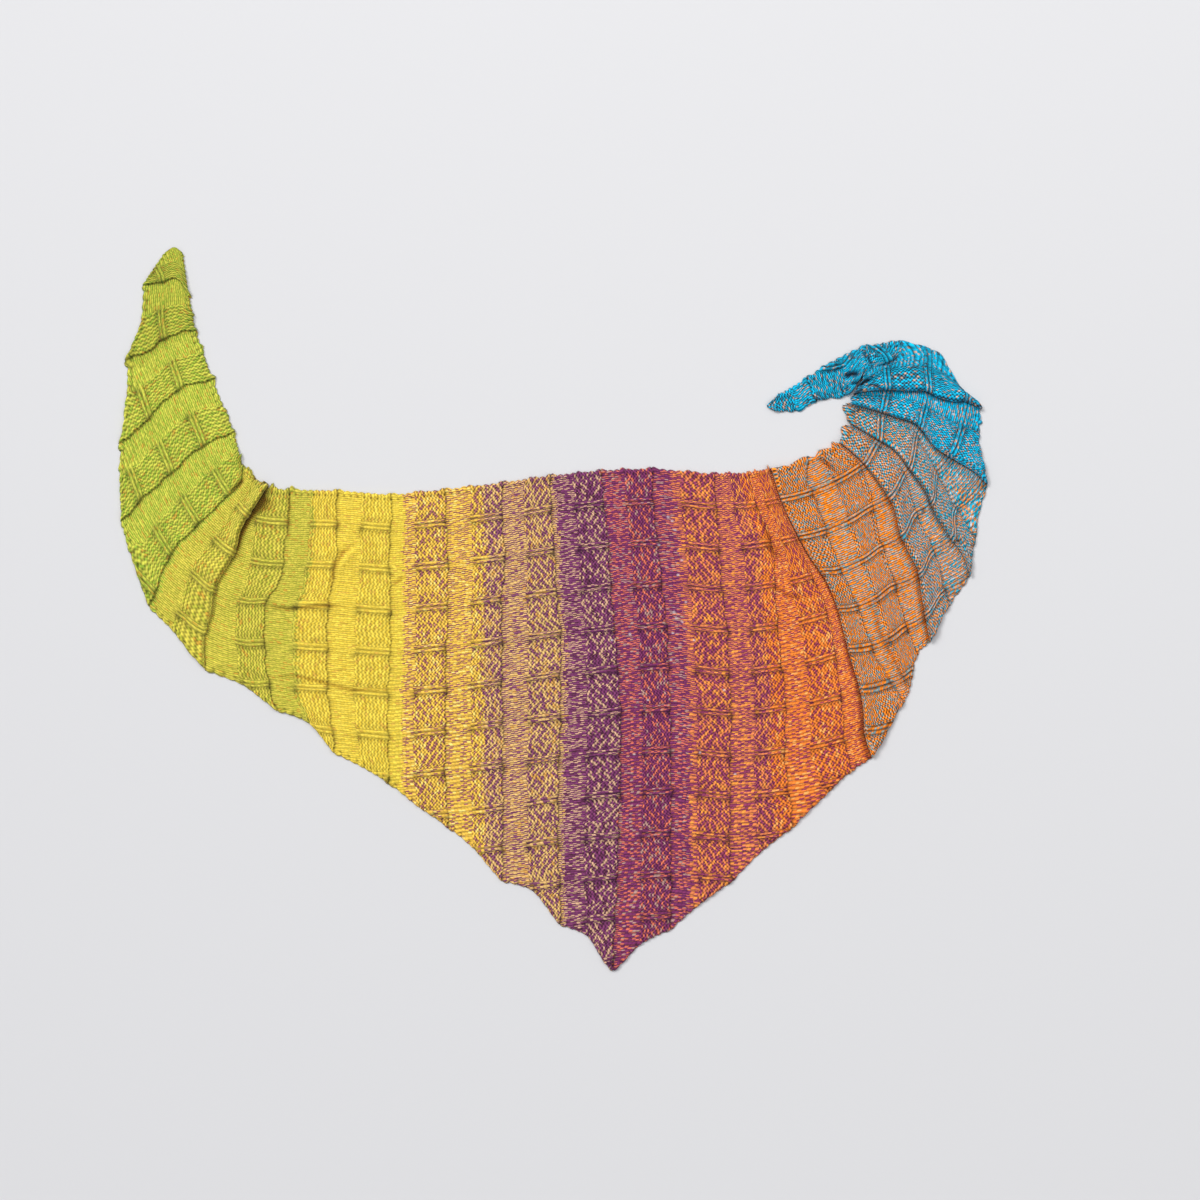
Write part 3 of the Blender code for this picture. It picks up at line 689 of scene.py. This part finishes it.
                # deep shade under the lip, widest by the selvedge
                spread = np.interp(v, (0.0, 0.03, 0.06, 0.10, 0.14, 0.18, 0.24, 0.32, 0.40), (4.0, 7.0, 12.0, 11.5, 7.0, 4.6, 3.4, 2.0, 1.0))
                deep = 1 - np.clip((r - r0 - 0.6 * spread) / (0.5 * spread), 0, 1)
                dim = np.maximum(dim, 0.74 * deep * (1 - soft(0.32, 0.42, v)) * (0.5 + 0.5 * soft(0.0, 0.03, v)))
            z = np.maximum(z, 0.0012)
            z = 0.0007 + (z - 0.0007) * edge
        pos.append(np.c_[(p[:, 0] - PLAN_X) * UNIT, (PLAN_Y - p[:, 1]) * UNIT, z])
        uv.append(np.c_[c, np.full_like(c, r) + lean])
        bake.append(np.c_[np.full_like(v, 0.01 + 0.76 * i / (n_st - 1)), 0.01 + 0.98 * v])
        dims.append(dim)
        rims.append(np.clip(np.minimum(s, tail) / ST, 0.0, 3.0))
        here = np.clip(v, 0, 1)
        mid_band = st.band(here)
        pitch = np.hypot(*(plan.at(mid_band + 0.04, here) - plan.at(mid_band - 0.04, here)).T) / (0.08 * 16)
        fans = r > 279.2
        wides.append(np.where(pitch > 5.8, 3.0, np.where(pitch > 3.5, 2.0, np.where(pitch > 1.6, 1.0, 0.5))) if fans else np.ones(len(s)))
        counts.append(len(s))
    offsets = np.r_[0, np.cumsum(counts)]
    quads, tris = [], []
    for i in range(n_st - 1):
        a, b = offsets[i], offsets[i + 1]
        na, nb = counts[i], counts[i + 1]
        m = min(na, nb) - 2
        j = np.arange(m)
        quads.append(np.c_[a + j, a + j + 1, b + j + 1, b + j])
        ia, ib = m, m
        while ia < na - 1 or ib < nb - 1:
            go_a = ib == nb - 1 or (ia < na - 1 and (na - ia) >= (nb - ib))
            if ia < na - 1 and ib < nb - 1 and na - ia == nb - ib:
                quads.append(np.array([[a + ia, a + ia + 1, b + ib + 1, b + ib]]))
                ia, ib = ia + 1, ib + 1
            elif go_a:
                tris.append((a + ia, a + ia + 1, b + ib))
                ia += 1
            else:
                tris.append((a + ia, b + ib + 1, b + ib))
                ib += 1
    # underside
    K = 14
    vs = np.linspace(0, 1, K + 1)
    base = offsets[-1]
    n_under = len(under)
    for k, (i, band, height) in enumerate(under):
        u = band(vs)
        row = float(plan.lengths(band(np.array([0.5]))[0]))
        inset = min(0.9, 0.2 * row) / row
        v_in = inset + vs * (1 - 2 * inset)
        p = plan.at(u, v_in)
        z = height(vs) if callable(height) else np.full(K + 1, height)
        pos.append(np.c_[(p[:, 0] - PLAN_X) * UNIT, (PLAN_Y - p[:, 1]) * UNIT, z])
        uv.append(np.c_[stitches(v_in * row), np.full(K + 1, stations[i].r)])
        bake.append(np.c_[np.full(K + 1, 0.80 + 0.19 * k / (n_under - 1)), 0.01 + 0.98 * vs])
        dims.append(np.zeros(K + 1))
        rims.append(np.full(K + 1, 3.0))
        wides.append(np.zeros(K + 1))

    def low(k, j):
        return base + k * (K + 1) + j

    for k in range(n_under - 1):
        j = np.arange(K)
        quads.append(np.c_[low(k, j), low(k + 1, j), low(k + 1, j + 1), low(k, j + 1)])
    walls = []

    def strip(upper, upper_t, lower, lower_t):
        """Triangles between two chains, wound with the first chain's direction."""
        a = b = 0
        while a < len(upper) - 1 or b < len(lower) - 1:
            if b == len(lower) - 1 or (a < len(upper) - 1 and upper_t[a + 1] <= lower_t[b + 1] + 1e-9):
                walls.append((upper[a + 1], upper[a], lower[b]))
                a += 1
            else:
                walls.append((upper[a], lower[b], lower[b + 1]))
                b += 1

    # first row, last row, upper selvedge, lower edge
    top0 = np.arange(counts[0])
    strip(offsets[0] + top0, np.linspace(0, 1, counts[0]), [low(0, j) for j in range(K + 1)], vs)
    topn = np.arange(counts[-1])[::-1]
    strip(offsets[n_st - 1] + topn, np.linspace(0, 1, counts[-1]), [low(n_under - 1, j) for j in range(K, -1, -1)], vs)
    where = np.array([u[0] for u in under], float)
    where[0], where[-1] = 0, n_st - 1
    strip([offsets[i] for i in range(n_st - 1, -1, -1)], (n_st - 1) - np.arange(n_st - 1, -1, -1.0),
          [low(k, 0) for k in range(n_under - 1, -1, -1)], (n_st - 1) - where[::-1])
    strip([offsets[i] + counts[i] - 1 for i in range(n_st)], np.arange(n_st, dtype=float),
          [low(k, K) for k in range(n_under)], where)

    co = np.concatenate(pos)
    uvs = np.concatenate(uv)
    bakes = np.concatenate(bake)
    quads = np.concatenate(quads)
    tris = np.array(tris + walls, int).reshape(-1, 3)
    # top faces as listed look up: rows run with +r, columns with +s
    a, b, c_ = co[quads[0][0]], co[quads[0][1]], co[quads[0][3]]
    mesh = bpy.data.meshes.new(name)
    mesh.vertices.add(len(co))
    mesh.vertices.foreach_set("co", co.astype(np.float32).ravel())
    loops = np.concatenate([quads.ravel(), tris.ravel()]).astype(np.int32)
    sizes = np.concatenate([np.full(len(quads), 4), np.full(len(tris), 3)]).astype(np.int32)
    starts = np.r_[0, np.cumsum(sizes)[:-1]].astype(np.int32)
    mesh.loops.add(len(loops))
    mesh.loops.foreach_set("vertex_index", loops)
    mesh.polygons.add(len(sizes))
    mesh.polygons.foreach_set("loop_start", starts)
    mesh.polygons.foreach_set("loop_total", sizes)
    layer = mesh.uv_layers.new(name="stitch")
    layer.data.foreach_set("uv", uvs[loops].astype(np.float32).ravel())
    layer = mesh.uv_layers.new(name="OFBake")
    layer.data.foreach_set("uv", bakes[loops].astype(np.float32).ravel())
    mesh.update(calc_edges=True)
    mesh.polygons.foreach_set("use_smooth", np.ones(len(sizes), bool))
    # the shell's cut ends are sharp, so that neighbours shade as one cloth
    sharp_rows = set()
    ends = np.zeros(len(co), np.int8)
    if not (stations[0].turn or stations[0].hidden):
        ends[offsets[0]:offsets[1]] = 1
    if not (stations[-1].turn or stations[-1].hidden):
        ends[offsets[n_st - 1]:offsets[n_st]] = 2
    # dim carries the painted shade of creases, hollows, lips and noses to the material
    mesh.attributes.new("dim", "FLOAT", "POINT").data.foreach_set("value", np.concatenate(dims).astype(np.float32))
    mesh.attributes.new("rim", "FLOAT", "POINT").data.foreach_set("value", np.concatenate(rims).astype(np.float32))
    mesh.attributes.new("wide", "FLOAT", "POINT").data.foreach_set("value", np.concatenate(wides).astype(np.float32))
    gap = np.zeros(len(co))
    px, py = co[:, 0] / UNIT + PLAN_X, PLAN_Y - co[:, 1] / UNIT
    for gx, gy in SPECKS:
        gap = np.maximum(gap, 1.2 - np.hypot((px - gx) / 1.5, (py - gy) / 1.0))
    gap[offsets[-1]:] = 0.0
    mesh.attributes.new("gap", "FLOAT", "POINT").data.foreach_set("value", np.clip(gap, 0, 1).astype(np.float32))
    pairs = np.empty(len(mesh.edges) * 2, np.int32)
    mesh.edges.foreach_get("vertices", pairs)
    pairs = pairs.reshape(-1, 2)
    sharp = (ends[pairs[:, 0]] > 0) & (ends[pairs[:, 0]] == ends[pairs[:, 1]])
    mesh.attributes.new("sharp_edge", "BOOLEAN", "EDGE").data.foreach_set("value", sharp)
    mesh.update()
    obj = bpy.data.objects.new(name, mesh)
    bpy.context.scene.collection.objects.link(obj)
    print(name, "verts", len(co), "tris", len(quads) * 2 + len(tris))
    return obj


# ---------------------------------------------------------------- material
def lin(rgb):
    out = []
    for v in rgb:
        v = v / 255.0
        out.append(v / 12.92 if v <= 0.04045 else ((v + 0.055) / 1.055) ** 2.4)
    return tuple(out)


YARN = (
    # from band, strand A, strand B, stray fibre, share of A
    (0.00, (190, 188, 66), (146, 168, 52), (178, 144, 50), 0.60),
    (2.10, (202, 202, 74), (156, 180, 56), (188, 154, 54), 0.60),
    (5.00, (214, 200, 74), (182, 180, 58), (198, 156, 54), 0.62),
    (7.45, (245, 216, 78), (231, 198, 62), (214, 172, 66), 0.60),
    (9.23, (244, 196, 78), (164, 98, 98), (246, 218, 118), 0.62),
    (10.66, (228, 184, 114), (136, 74, 106), (208, 152, 78), 0.54),
    (12.00, (126, 58, 104), (210, 166, 134), (92, 42, 66), 0.60),
    (13.00, (124, 48, 96), (220, 114, 88), (180, 138, 128), 0.62),
    (14.25, (146, 58, 94), (228, 130, 78), (246, 156, 66), 0.51),
    (15.70, (244, 133, 50), (160, 62, 84), (250, 170, 92), 0.60),
    (17.45, (248, 136, 30), (150, 166, 158), (124, 144, 152), 0.60),
    (19.45, (232, 144, 70), (64, 164, 188), (176, 172, 174), 0.54),
    (20.45, (226, 144, 76), (22, 164, 192), (176, 186, 192), 0.45),
    (21.45, (0, 176, 216), (208, 152, 116), (70, 104, 124), 0.72),
    (22.60, (0, 170, 208), (188, 152, 134), (52, 84, 100), 0.76),
)


class Graph:
    """Short names for building a node tree."""

    def __init__(self, tree):
        self.tree = tree

    def node(self, kind, **settings):
        n = self.tree.nodes.new(kind)
        for key, value in settings.items():
            setattr(n, key, value)
        return n

    def put(self, socket, value):
        if hasattr(value, "is_output"):
            self.tree.links.new(value, socket)
        else:
            socket.default_value = value

    def math(self, op, a, b=None, c=None, clamp=False):
        n = self.node("ShaderNodeMath", operation=op, use_clamp=clamp)
        self.put(n.inputs[0], a)
        if b is not None:
            self.put(n.inputs[1], b)
        if c is not None:
            self.put(n.inputs[2], c)
        return n.outputs[0]

    def mixf(self, f, a, b):
        n = self.node("ShaderNodeMix", data_type="FLOAT")
        self.put(n.inputs[0], f)
        self.put(n.inputs[2], a)
        self.put(n.inputs[3], b)
        return n.outputs[0]

    def mixc(self, f, a, b, blend="MIX"):
        n = self.node("ShaderNodeMix", data_type="RGBA", blend_type=blend)
        self.put(n.inputs[0], f)
        self.put(n.inputs[6], a)
        self.put(n.inputs[7], b)
        return n.outputs[2]

    def vec(self, x, y, z=0.0):
        n = self.node("ShaderNodeCombineXYZ")
        self.put(n.inputs[0], x)
        self.put(n.inputs[1], y)
        self.put(n.inputs[2], z)
        return n.outputs[0]

    def gauss(self, v, centre, width):
        d = self.math("MULTIPLY", self.math("SUBTRACT", v, centre), 1.0 / width)
        return self.math("EXPONENT", self.math("MULTIPLY", self.math("MULTIPLY", d, d), -1.0))

    def turns(self, count, chance):
        """The strands take turns over four places, near enough even, with some chance."""
        q = self.math("FLOORED_MODULO", count, 4.0)
        place = self.math("ADD", self.math("FLOORED_MODULO", self.math("MULTIPLY", q, 2.0), 4.0), self.math("GREATER_THAN", q, 1.5))
        even = self.math("MULTIPLY_ADD", place, 0.25, 0.125)
        return self.math("MULTIPLY_ADD", even, TWIST, self.math("MULTIPLY", chance, 1.0 - TWIST))

    def white(self, v):
        n = self.node("ShaderNodeTexWhiteNoise", noise_dimensions="3D")
        self.put(n.inputs["Vector"], v)
        return n.outputs["Value"]

    def ramp(self, t, stops, grey=False):
        n = self.node("ShaderNodeValToRGB")
        r = n.color_ramp
        r.interpolation = "CONSTANT"
        while len(r.elements) < len(stops):
            r.elements.new(0.5)
        for e, (at, colour) in zip(r.elements, sorted(stops)):
            e.position = at
            e.color = (*colour, 1.0) if not grey else (colour, colour, colour, 1.0)
        self.put(n.inputs[0], t)
        return n.outputs[0]


def knit_material(name):
    mat = bpy.data.materials.new(name)
    mat.use_nodes = True
    tree = mat.node_tree
    g = Graph(tree)
    shader = tree.nodes["Principled BSDF"]
    uv = g.node("ShaderNodeUVMap", uv_map="stitch")
    sep = g.node("ShaderNodeSeparateXYZ")
    tree.links.new(uv.outputs[0], sep.inputs[0])
    c, r = sep.outputs[0], sep.outputs[1]

    wide = g.node("ShaderNodeAttribute", attribute_name="wide")
    twice = g.math("MAXIMUM", 0.5, g.math("MULTIPLY", g.math("ROUND", g.math("MULTIPLY", wide.outputs["Fac"], 2.0)), 0.5))
    x = g.math("FRACT", c)
    lean = g.math("MULTIPLY_ADD", g.math("ABSOLUTE", g.math("MULTIPLY_ADD", x, 2.0, -1.0)), 2 * LEAN, -LEAN)
    rk = g.math("SUBTRACT", r, lean)
    rk = g.math("MULTIPLY", rk, twice)
    rt = g.math("MULTIPLY", r, twice)
    y = g.math("FRACT", rk)
    leg_id = g.math("FLOOR", g.math("MULTIPLY", c, 2.0))
    row_id = g.math("FLOOR", rk)

    f = g.math("MODULO", r, 16.0)
    in_purl = g.math("GREATER_THAN", f, 7.05)
    ms = g.math("SUBTRACT", g.math("FLOORED_MODULO", g.math("SUBTRACT", c, 3.0), 10.0), 5.0)
    m = g.math("ABSOLUTE", ms)
    off_ridge = g.math("GREATER_THAN", m, 1.0)
    is_purl = g.math("MULTIPLY", in_purl, off_ridge)
    bold = g.math("ADD", 0.62, g.math("MULTIPLY_ADD", g.math("LESS_THAN", r, 112.0), 0.10, g.math("MULTIPLY", g.math("GREATER_THAN", r, 279.2), 0.16)))
    run_on = g.math("MULTIPLY_ADD", g.math("GREATER_THAN", r, 279.2), FAN_RUN, RUN_ON)
    on = g.math("MAXIMUM", in_purl, run_on)

    # which strand shows in each leg or purl arc
    wave = g.math("COSINE", g.math("MULTIPLY", c, 2 * math.pi))
    half = g.math("FLOOR", g.math("MULTIPLY_ADD", wave, 0.35, g.math("MULTIPLY", rt, 2.0)))
    odd = g.math("FLOORED_MODULO", half, 2.0)
    xs = g.math("MULTIPLY_ADD", odd, 0.5, c)
    strand_id = g.math("FLOOR", g.math("MULTIPLY", c, 4.0))
    fine = g.math("ADD", 1.0, g.math("MULTIPLY", g.math("GREATER_THAN", r, 279.2), g.math("LESS_THAN", r, 359.2)))
    arc_id = g.math("FLOOR", g.math("MULTIPLY", xs, fine))
    w_knit = g.white(g.vec(strand_id, row_id, 0.0))
    w_purl = g.white(g.vec(arc_id, half, 7.0))
    w_knit = g.turns(g.math("ADD", strand_id, row_id), w_knit)
    # the slant of the purl strands changes from place to place
    slant = g.math("GREATER_THAN", g.white(g.vec(g.math("FLOOR", g.math("MULTIPLY_ADD", c, 0.52, g.math("MULTIPLY", r, 0.05))), g.math("FLOOR", g.math("MULTIPLY", r, 0.36)), 41.0)), 0.5)
    side = g.math("MULTIPLY_ADD", slant, -2.0, 1.0)
    over = g.math("MULTIPLY", slant, g.math("SUBTRACT", odd, 1.0))
    turn = g.math("ADD", g.math("MULTIPLY_ADD", arc_id, side, over), g.math("FLOOR", g.math("MULTIPLY", half, 0.5)))
    w_purl = g.turns(g.math("ADD", turn, half), w_purl)
    w = g.mixf(is_purl, w_knit, w_purl)

    jag = g.white(g.vec(leg_id, 3.0, 11.0))
    rj = g.math("MULTIPLY_ADD", jag, 1.5, g.math("SUBTRACT", r, 0.75))
    t = g.math("DIVIDE", rj, 416.0)
    a = g.ramp(t, [(y_[0] * 16 / 416, lin(y_[1])) for y_ in YARN])
    b = g.ramp(t, [(y_[0] * 16 / 416, lin(y_[2])) for y_ in YARN])
    stray = g.ramp(t, [(y_[0] * 16 / 416, lin(y_[3])) for y_ in YARN])
    p = g.ramp(t, [(y_[0] * 16 / 416, y_[4]) for y_ in YARN], grey=True)
    colour = g.mixc(g.math("GREATER_THAN", w, p), a, b)

    # each strand is not quite even, and a stray fibre shows here and there
    rare = g.math("MULTIPLY_ADD", g.math("LESS_THAN", r, 148.0), 0.04, 0.90)
    tone = g.mixf(is_purl, g.white(g.vec(g.math("ADD", strand_id, 0.5), row_id, 23.0)), g.white(g.vec(arc_id, half, 29.0)))
    colour = g.mixc(g.math("GREATER_THAN", tone, rare), colour, stray)
    even = g.math("FRACT", g.math("MULTIPLY", tone, 7.0))
    spread = g.math("MULTIPLY_ADD", g.math("GREATER_THAN", r, 279.2), 0.30, TONE)
    even = g.math("MULTIPLY_ADD", g.math("SUBTRACT", even, 0.5), spread, 1.0)
    colour = g.mixc(1.0, colour, g.vec(even, even, even), "MULTIPLY")

    # painted shade in the grooves between the legs and round the purl arcs, and painted light on their crests and on
    # the ridge cords
    leg = g.math("POWER", g.math("ABSOLUTE", g.math("SINE", g.math("MULTIPLY", c, 2 * math.pi))), 0.8)
    gap_y = g.math("POWER", g.math("SINE", g.math("MULTIPLY", y, math.pi)), 0.5)
    knit_h = g.math("MULTIPLY", leg, g.math("MULTIPLY_ADD", gap_y, 0.45, 0.55))
    ry = g.math("MULTIPLY", rt, 2 * math.pi)
    wing = g.math("LESS_THAN", r, 148.0)
    crate = g.math("MULTIPLY_ADD", g.math("MULTIPLY", wave, g.math("SINE", ry)), g.math("MULTIPLY_ADD", wing, 0.17, -0.55), 0.5)
    purl_h = g.math("MULTIPLY_ADD", g.math("COSINE", ry), g.math("MULTIPLY_ADD", wing, -0.12, -0.18), crate, clamp=True)
    height = g.mixf(is_purl, knit_h, purl_h)
    cord_h = g.math("MULTIPLY", g.math("POWER", g.math("SINE", g.math("MULTIPLY", x, math.pi)), 1.5), g.math("MULTIPLY_ADD", gap_y, 0.48, 0.38))
    height = g.mixf(g.math("MULTIPLY", on, g.math("LESS_THAN", m, 1.0)), height, cord_h)
    depth = g.math("ADD", DEPTH, g.math("MULTIPLY_ADD", g.math("GREATER_THAN", r, 279.2), 0.34, g.math("MULTIPLY", wing, -0.10)))
    golden = g.math("MULTIPLY", g.math("GREATER_THAN", r, 112.0), wing)
    depth = g.math("MULTIPLY_ADD", golden, -0.16, depth)
    full = g.math("MULTIPLY_ADD", g.math("GREATER_THAN", r, 279.2), 0.14, g.math("MULTIPLY_ADD", golden, -0.09, 1.12))
    shade = g.math("MULTIPLY_ADD", height, depth, g.math("SUBTRACT", full, depth))

    # painted shade in the hollows beside the ridges, at both ends of each ridge and under each band's last row
    beside = g.math("ADD", g.math("MULTIPLY", g.gauss(ms, 1.40, 0.36), 0.38), g.math("MULTIPLY", g.gauss(ms, -1.40, 0.34), 0.22))
    shade = g.math("MULTIPLY", shade, g.math("MULTIPLY_ADD", g.math("MULTIPLY", beside, g.math("MULTIPLY", on, bold)), -1.0, 1.0))
    fs = g.math("SUBTRACT", g.math("FLOORED_MODULO", g.math("ADD", r, 8.0), 16.0), 8.0)
    uneven = g.math("MULTIPLY_ADD", g.white(g.vec(g.math("FLOOR", g.math("MULTIPLY", c, 0.6)), g.math("FLOOR", g.math("DIVIDE", r, 8.0)), 31.0)), 0.85, 0.15)
    step = g.math("MULTIPLY", g.gauss(fs, 0.10, 0.46), g.math("MULTIPLY", uneven, g.math("MULTIPLY", bold, STEP_DIM)))
    shade = g.math("MULTIPLY", shade, g.math("MULTIPLY_ADD", step, -1.0, 1.0))
    ridge_end_shade = g.math("MULTIPLY", g.math("ADD", g.gauss(f, 7.2, 1.0), g.gauss(fs, -0.2, 1.1)), g.gauss(ms, 0.9, 1.5))
    shade = g.math("MULTIPLY", shade, g.math("MULTIPLY_ADD", g.math("MULTIPLY", ridge_end_shade, uneven), -RIDGE_END_SHADE, 1.0))
    # painted shade in the holes of the edge chain, one stitch in from the edge, every other row
    rim = g.node("ShaderNodeAttribute", attribute_name="rim")
    edge_hole_shade = g.math("POWER", g.math("ABSOLUTE", g.math("COSINE", g.math("MULTIPLY", r, math.pi / 2))), 4.0)
    edge_hole_shade = g.math("MULTIPLY", g.gauss(rim.outputs["Fac"], 1.05, 0.30), edge_hole_shade)
    shade = g.math("MULTIPLY", shade, g.math("MULTIPLY_ADD", edge_hole_shade, -0.55, 1.0))
    # painted shade from the dim attribute (creases, hollows, lips, nose undersides, under the pleat), tinted brown
    # before row 320 and blue after it
    dim = g.node("ShaderNodeAttribute", attribute_name="dim")
    lit = g.math("MAXIMUM", g.math("MULTIPLY_ADD", dim.outputs["Fac"], -1.0, 1.0), 0.03)
    cool = g.math("GREATER_THAN", r, 320.0)
    painted_shade_rgb = g.vec(*[g.math("MULTIPLY", shade, g.math("POWER", lit, k)) for k in (
        g.math("MULTIPLY_ADD", cool, 0.55, 0.90), 1.20, g.math("MULTIPLY_ADD", cool, -0.55, 1.60))])
    colour = g.mixc(1.0, colour, painted_shade_rgb, "MULTIPLY")
    gap = g.node("ShaderNodeAttribute", attribute_name="gap")
    colour = g.mixc(gap.outputs["Fac"], colour, (0.66, 0.60, 0.62, 1.0))
    tree.links.new(colour, shader.inputs["Base Color"])

    # twist of the yarn and its fluff
    ply = g.math("SINE", g.math("MULTIPLY", g.math("ADD", g.math("MULTIPLY", c, 4.0), g.math("MULTIPLY", rk, 3.0)), 2 * math.pi))
    coords = g.node("ShaderNodeTexCoord")
    fluff = g.node("ShaderNodeTexNoise", noise_dimensions="3D")
    fluff.inputs["Scale"].default_value = 2600.0
    fluff.inputs["Detail"].default_value = 3.0
    tree.links.new(coords.outputs["Object"], fluff.inputs["Vector"])
    fuzz = g.math("MULTIPLY_ADD", fluff.outputs["Fac"], 0.35, g.math("MULTIPLY", ply, 0.10))
    bump_h = g.math("ADD", height, fuzz)
    bump = g.node("ShaderNodeBump")
    bump.inputs["Strength"].default_value = 0.55
    bump.inputs["Distance"].default_value = 0.0006
    tree.links.new(bump_h, bump.inputs["Height"])
    tree.links.new(bump.outputs[0], shader.inputs["Normal"])
    shader.inputs["Roughness"].default_value = 0.88
    shader.inputs["Specular IOR Level"].default_value = 0.18
    shader.inputs["Sheen Weight"].default_value = 0.18
    shader.inputs["Sheen Roughness"].default_value = 0.45
    shader.inputs["Sheen Tint"].default_value = (1.0, 0.96, 0.92, 1.0)
    return mat


# ------------------------------------------------------------------ build
PLANS = {}
for lo, hi in ((0, 6), (6, 17.45), (17.45, 19.45), (19.45, 20.45), (20.45, 21.45), (21.45, 22.45), (22.45, 26)):
    PLANS[(lo, hi)] = Plan(lo, hi)

knit = knit_material("knit_marl")
for name, r0, r1 in STRETCHES:
    plan = next(p for (lo, hi), p in PLANS.items() if lo * 16 - 1e-6 <= r0 and r1 <= hi * 16 + 1e-6)
    piece = knit_shell(name + "_knit", plan, r0, r1)
    piece.data.materials.append(knit)
    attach(piece, "root")
    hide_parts(name)

# ------------------------------------------------------------------- stage
bpy.ops.mesh.primitive_plane_add(size=8.0, location=(0.0, 0.0, -0.0004))
floor = bpy.context.object
floor.name = "floor"
paper = bpy.data.materials.new("floor_paper")
paper.use_nodes = True
shader = paper.node_tree.nodes["Principled BSDF"]
shader.inputs["Base Color"].default_value = (0.598, 0.595, 0.602, 1.0)
shader.inputs["Roughness"].default_value = 0.95
shader.inputs["Specular IOR Level"].default_value = 0.1
floor.data.materials.append(paper)

CAM_X, CAM_Y = (600 - PLAN_X) * UNIT, (PLAN_Y - 600) * UNIT
camera = bpy.data.objects.new("camera", bpy.data.cameras.new("camera"))
camera.data.lens = 50.0
camera.data.sensor_width = 36.0
camera.location = (CAM_X, CAM_Y, 1.32 * 50.0 / 36.0 + 0.002)
camera.rotation_euler = (0.0, 0.0, 0.0)
bpy.context.scene.collection.objects.link(camera)
bpy.context.scene.camera = camera


def softbox(name, place, aim, size, power, colour=(1.0, 1.0, 1.0)):
    light = bpy.data.lights.new(name, "AREA")
    light.shape = "RECTANGLE"
    light.size, light.size_y = size
    light.energy = power
    light.color = colour
    lamp = bpy.data.objects.new(name, light)
    lamp.location = place
    way = np.array(aim, float) - np.array(place, float)
    lamp.rotation_euler = Vector(way).to_track_quat("-Z", "Y").to_euler()
    bpy.context.scene.collection.objects.link(lamp)
    return lamp


def sun(name, way, power, angle, colour=(1.0, 1.0, 1.0)):
    light = bpy.data.lights.new(name, "SUN")
    light.energy = power
    light.angle = math.radians(angle)
    light.color = colour
    lamp = bpy.data.objects.new(name, light)
    lamp.rotation_euler = Vector(way).to_track_quat("-Z", "Y").to_euler()
    bpy.context.scene.collection.objects.link(lamp)


sun("key_light", (0.72, -0.62, -0.80), 2.37, 22.0, (1.0, 0.995, 0.985))
sun("fill_light", (-0.8, 0.35, -1.0), 0.55, 40.0)
softbox("top_light", (0.1, 2.2, 2.6), (0.05, 0.6, 0.0), (2.4, 1.0), 40.0)
world = bpy.data.worlds.new("studio")
world.use_nodes = True
world.node_tree.nodes["Background"].inputs["Color"].default_value = (0.93, 0.95, 1.0, 1.0)
world.node_tree.nodes["Background"].inputs["Strength"].default_value = 0.48
bpy.context.scene.world = world
bpy.context.scene.view_settings.view_transform = "Standard"
bpy.context.scene.view_settings.look = "None"
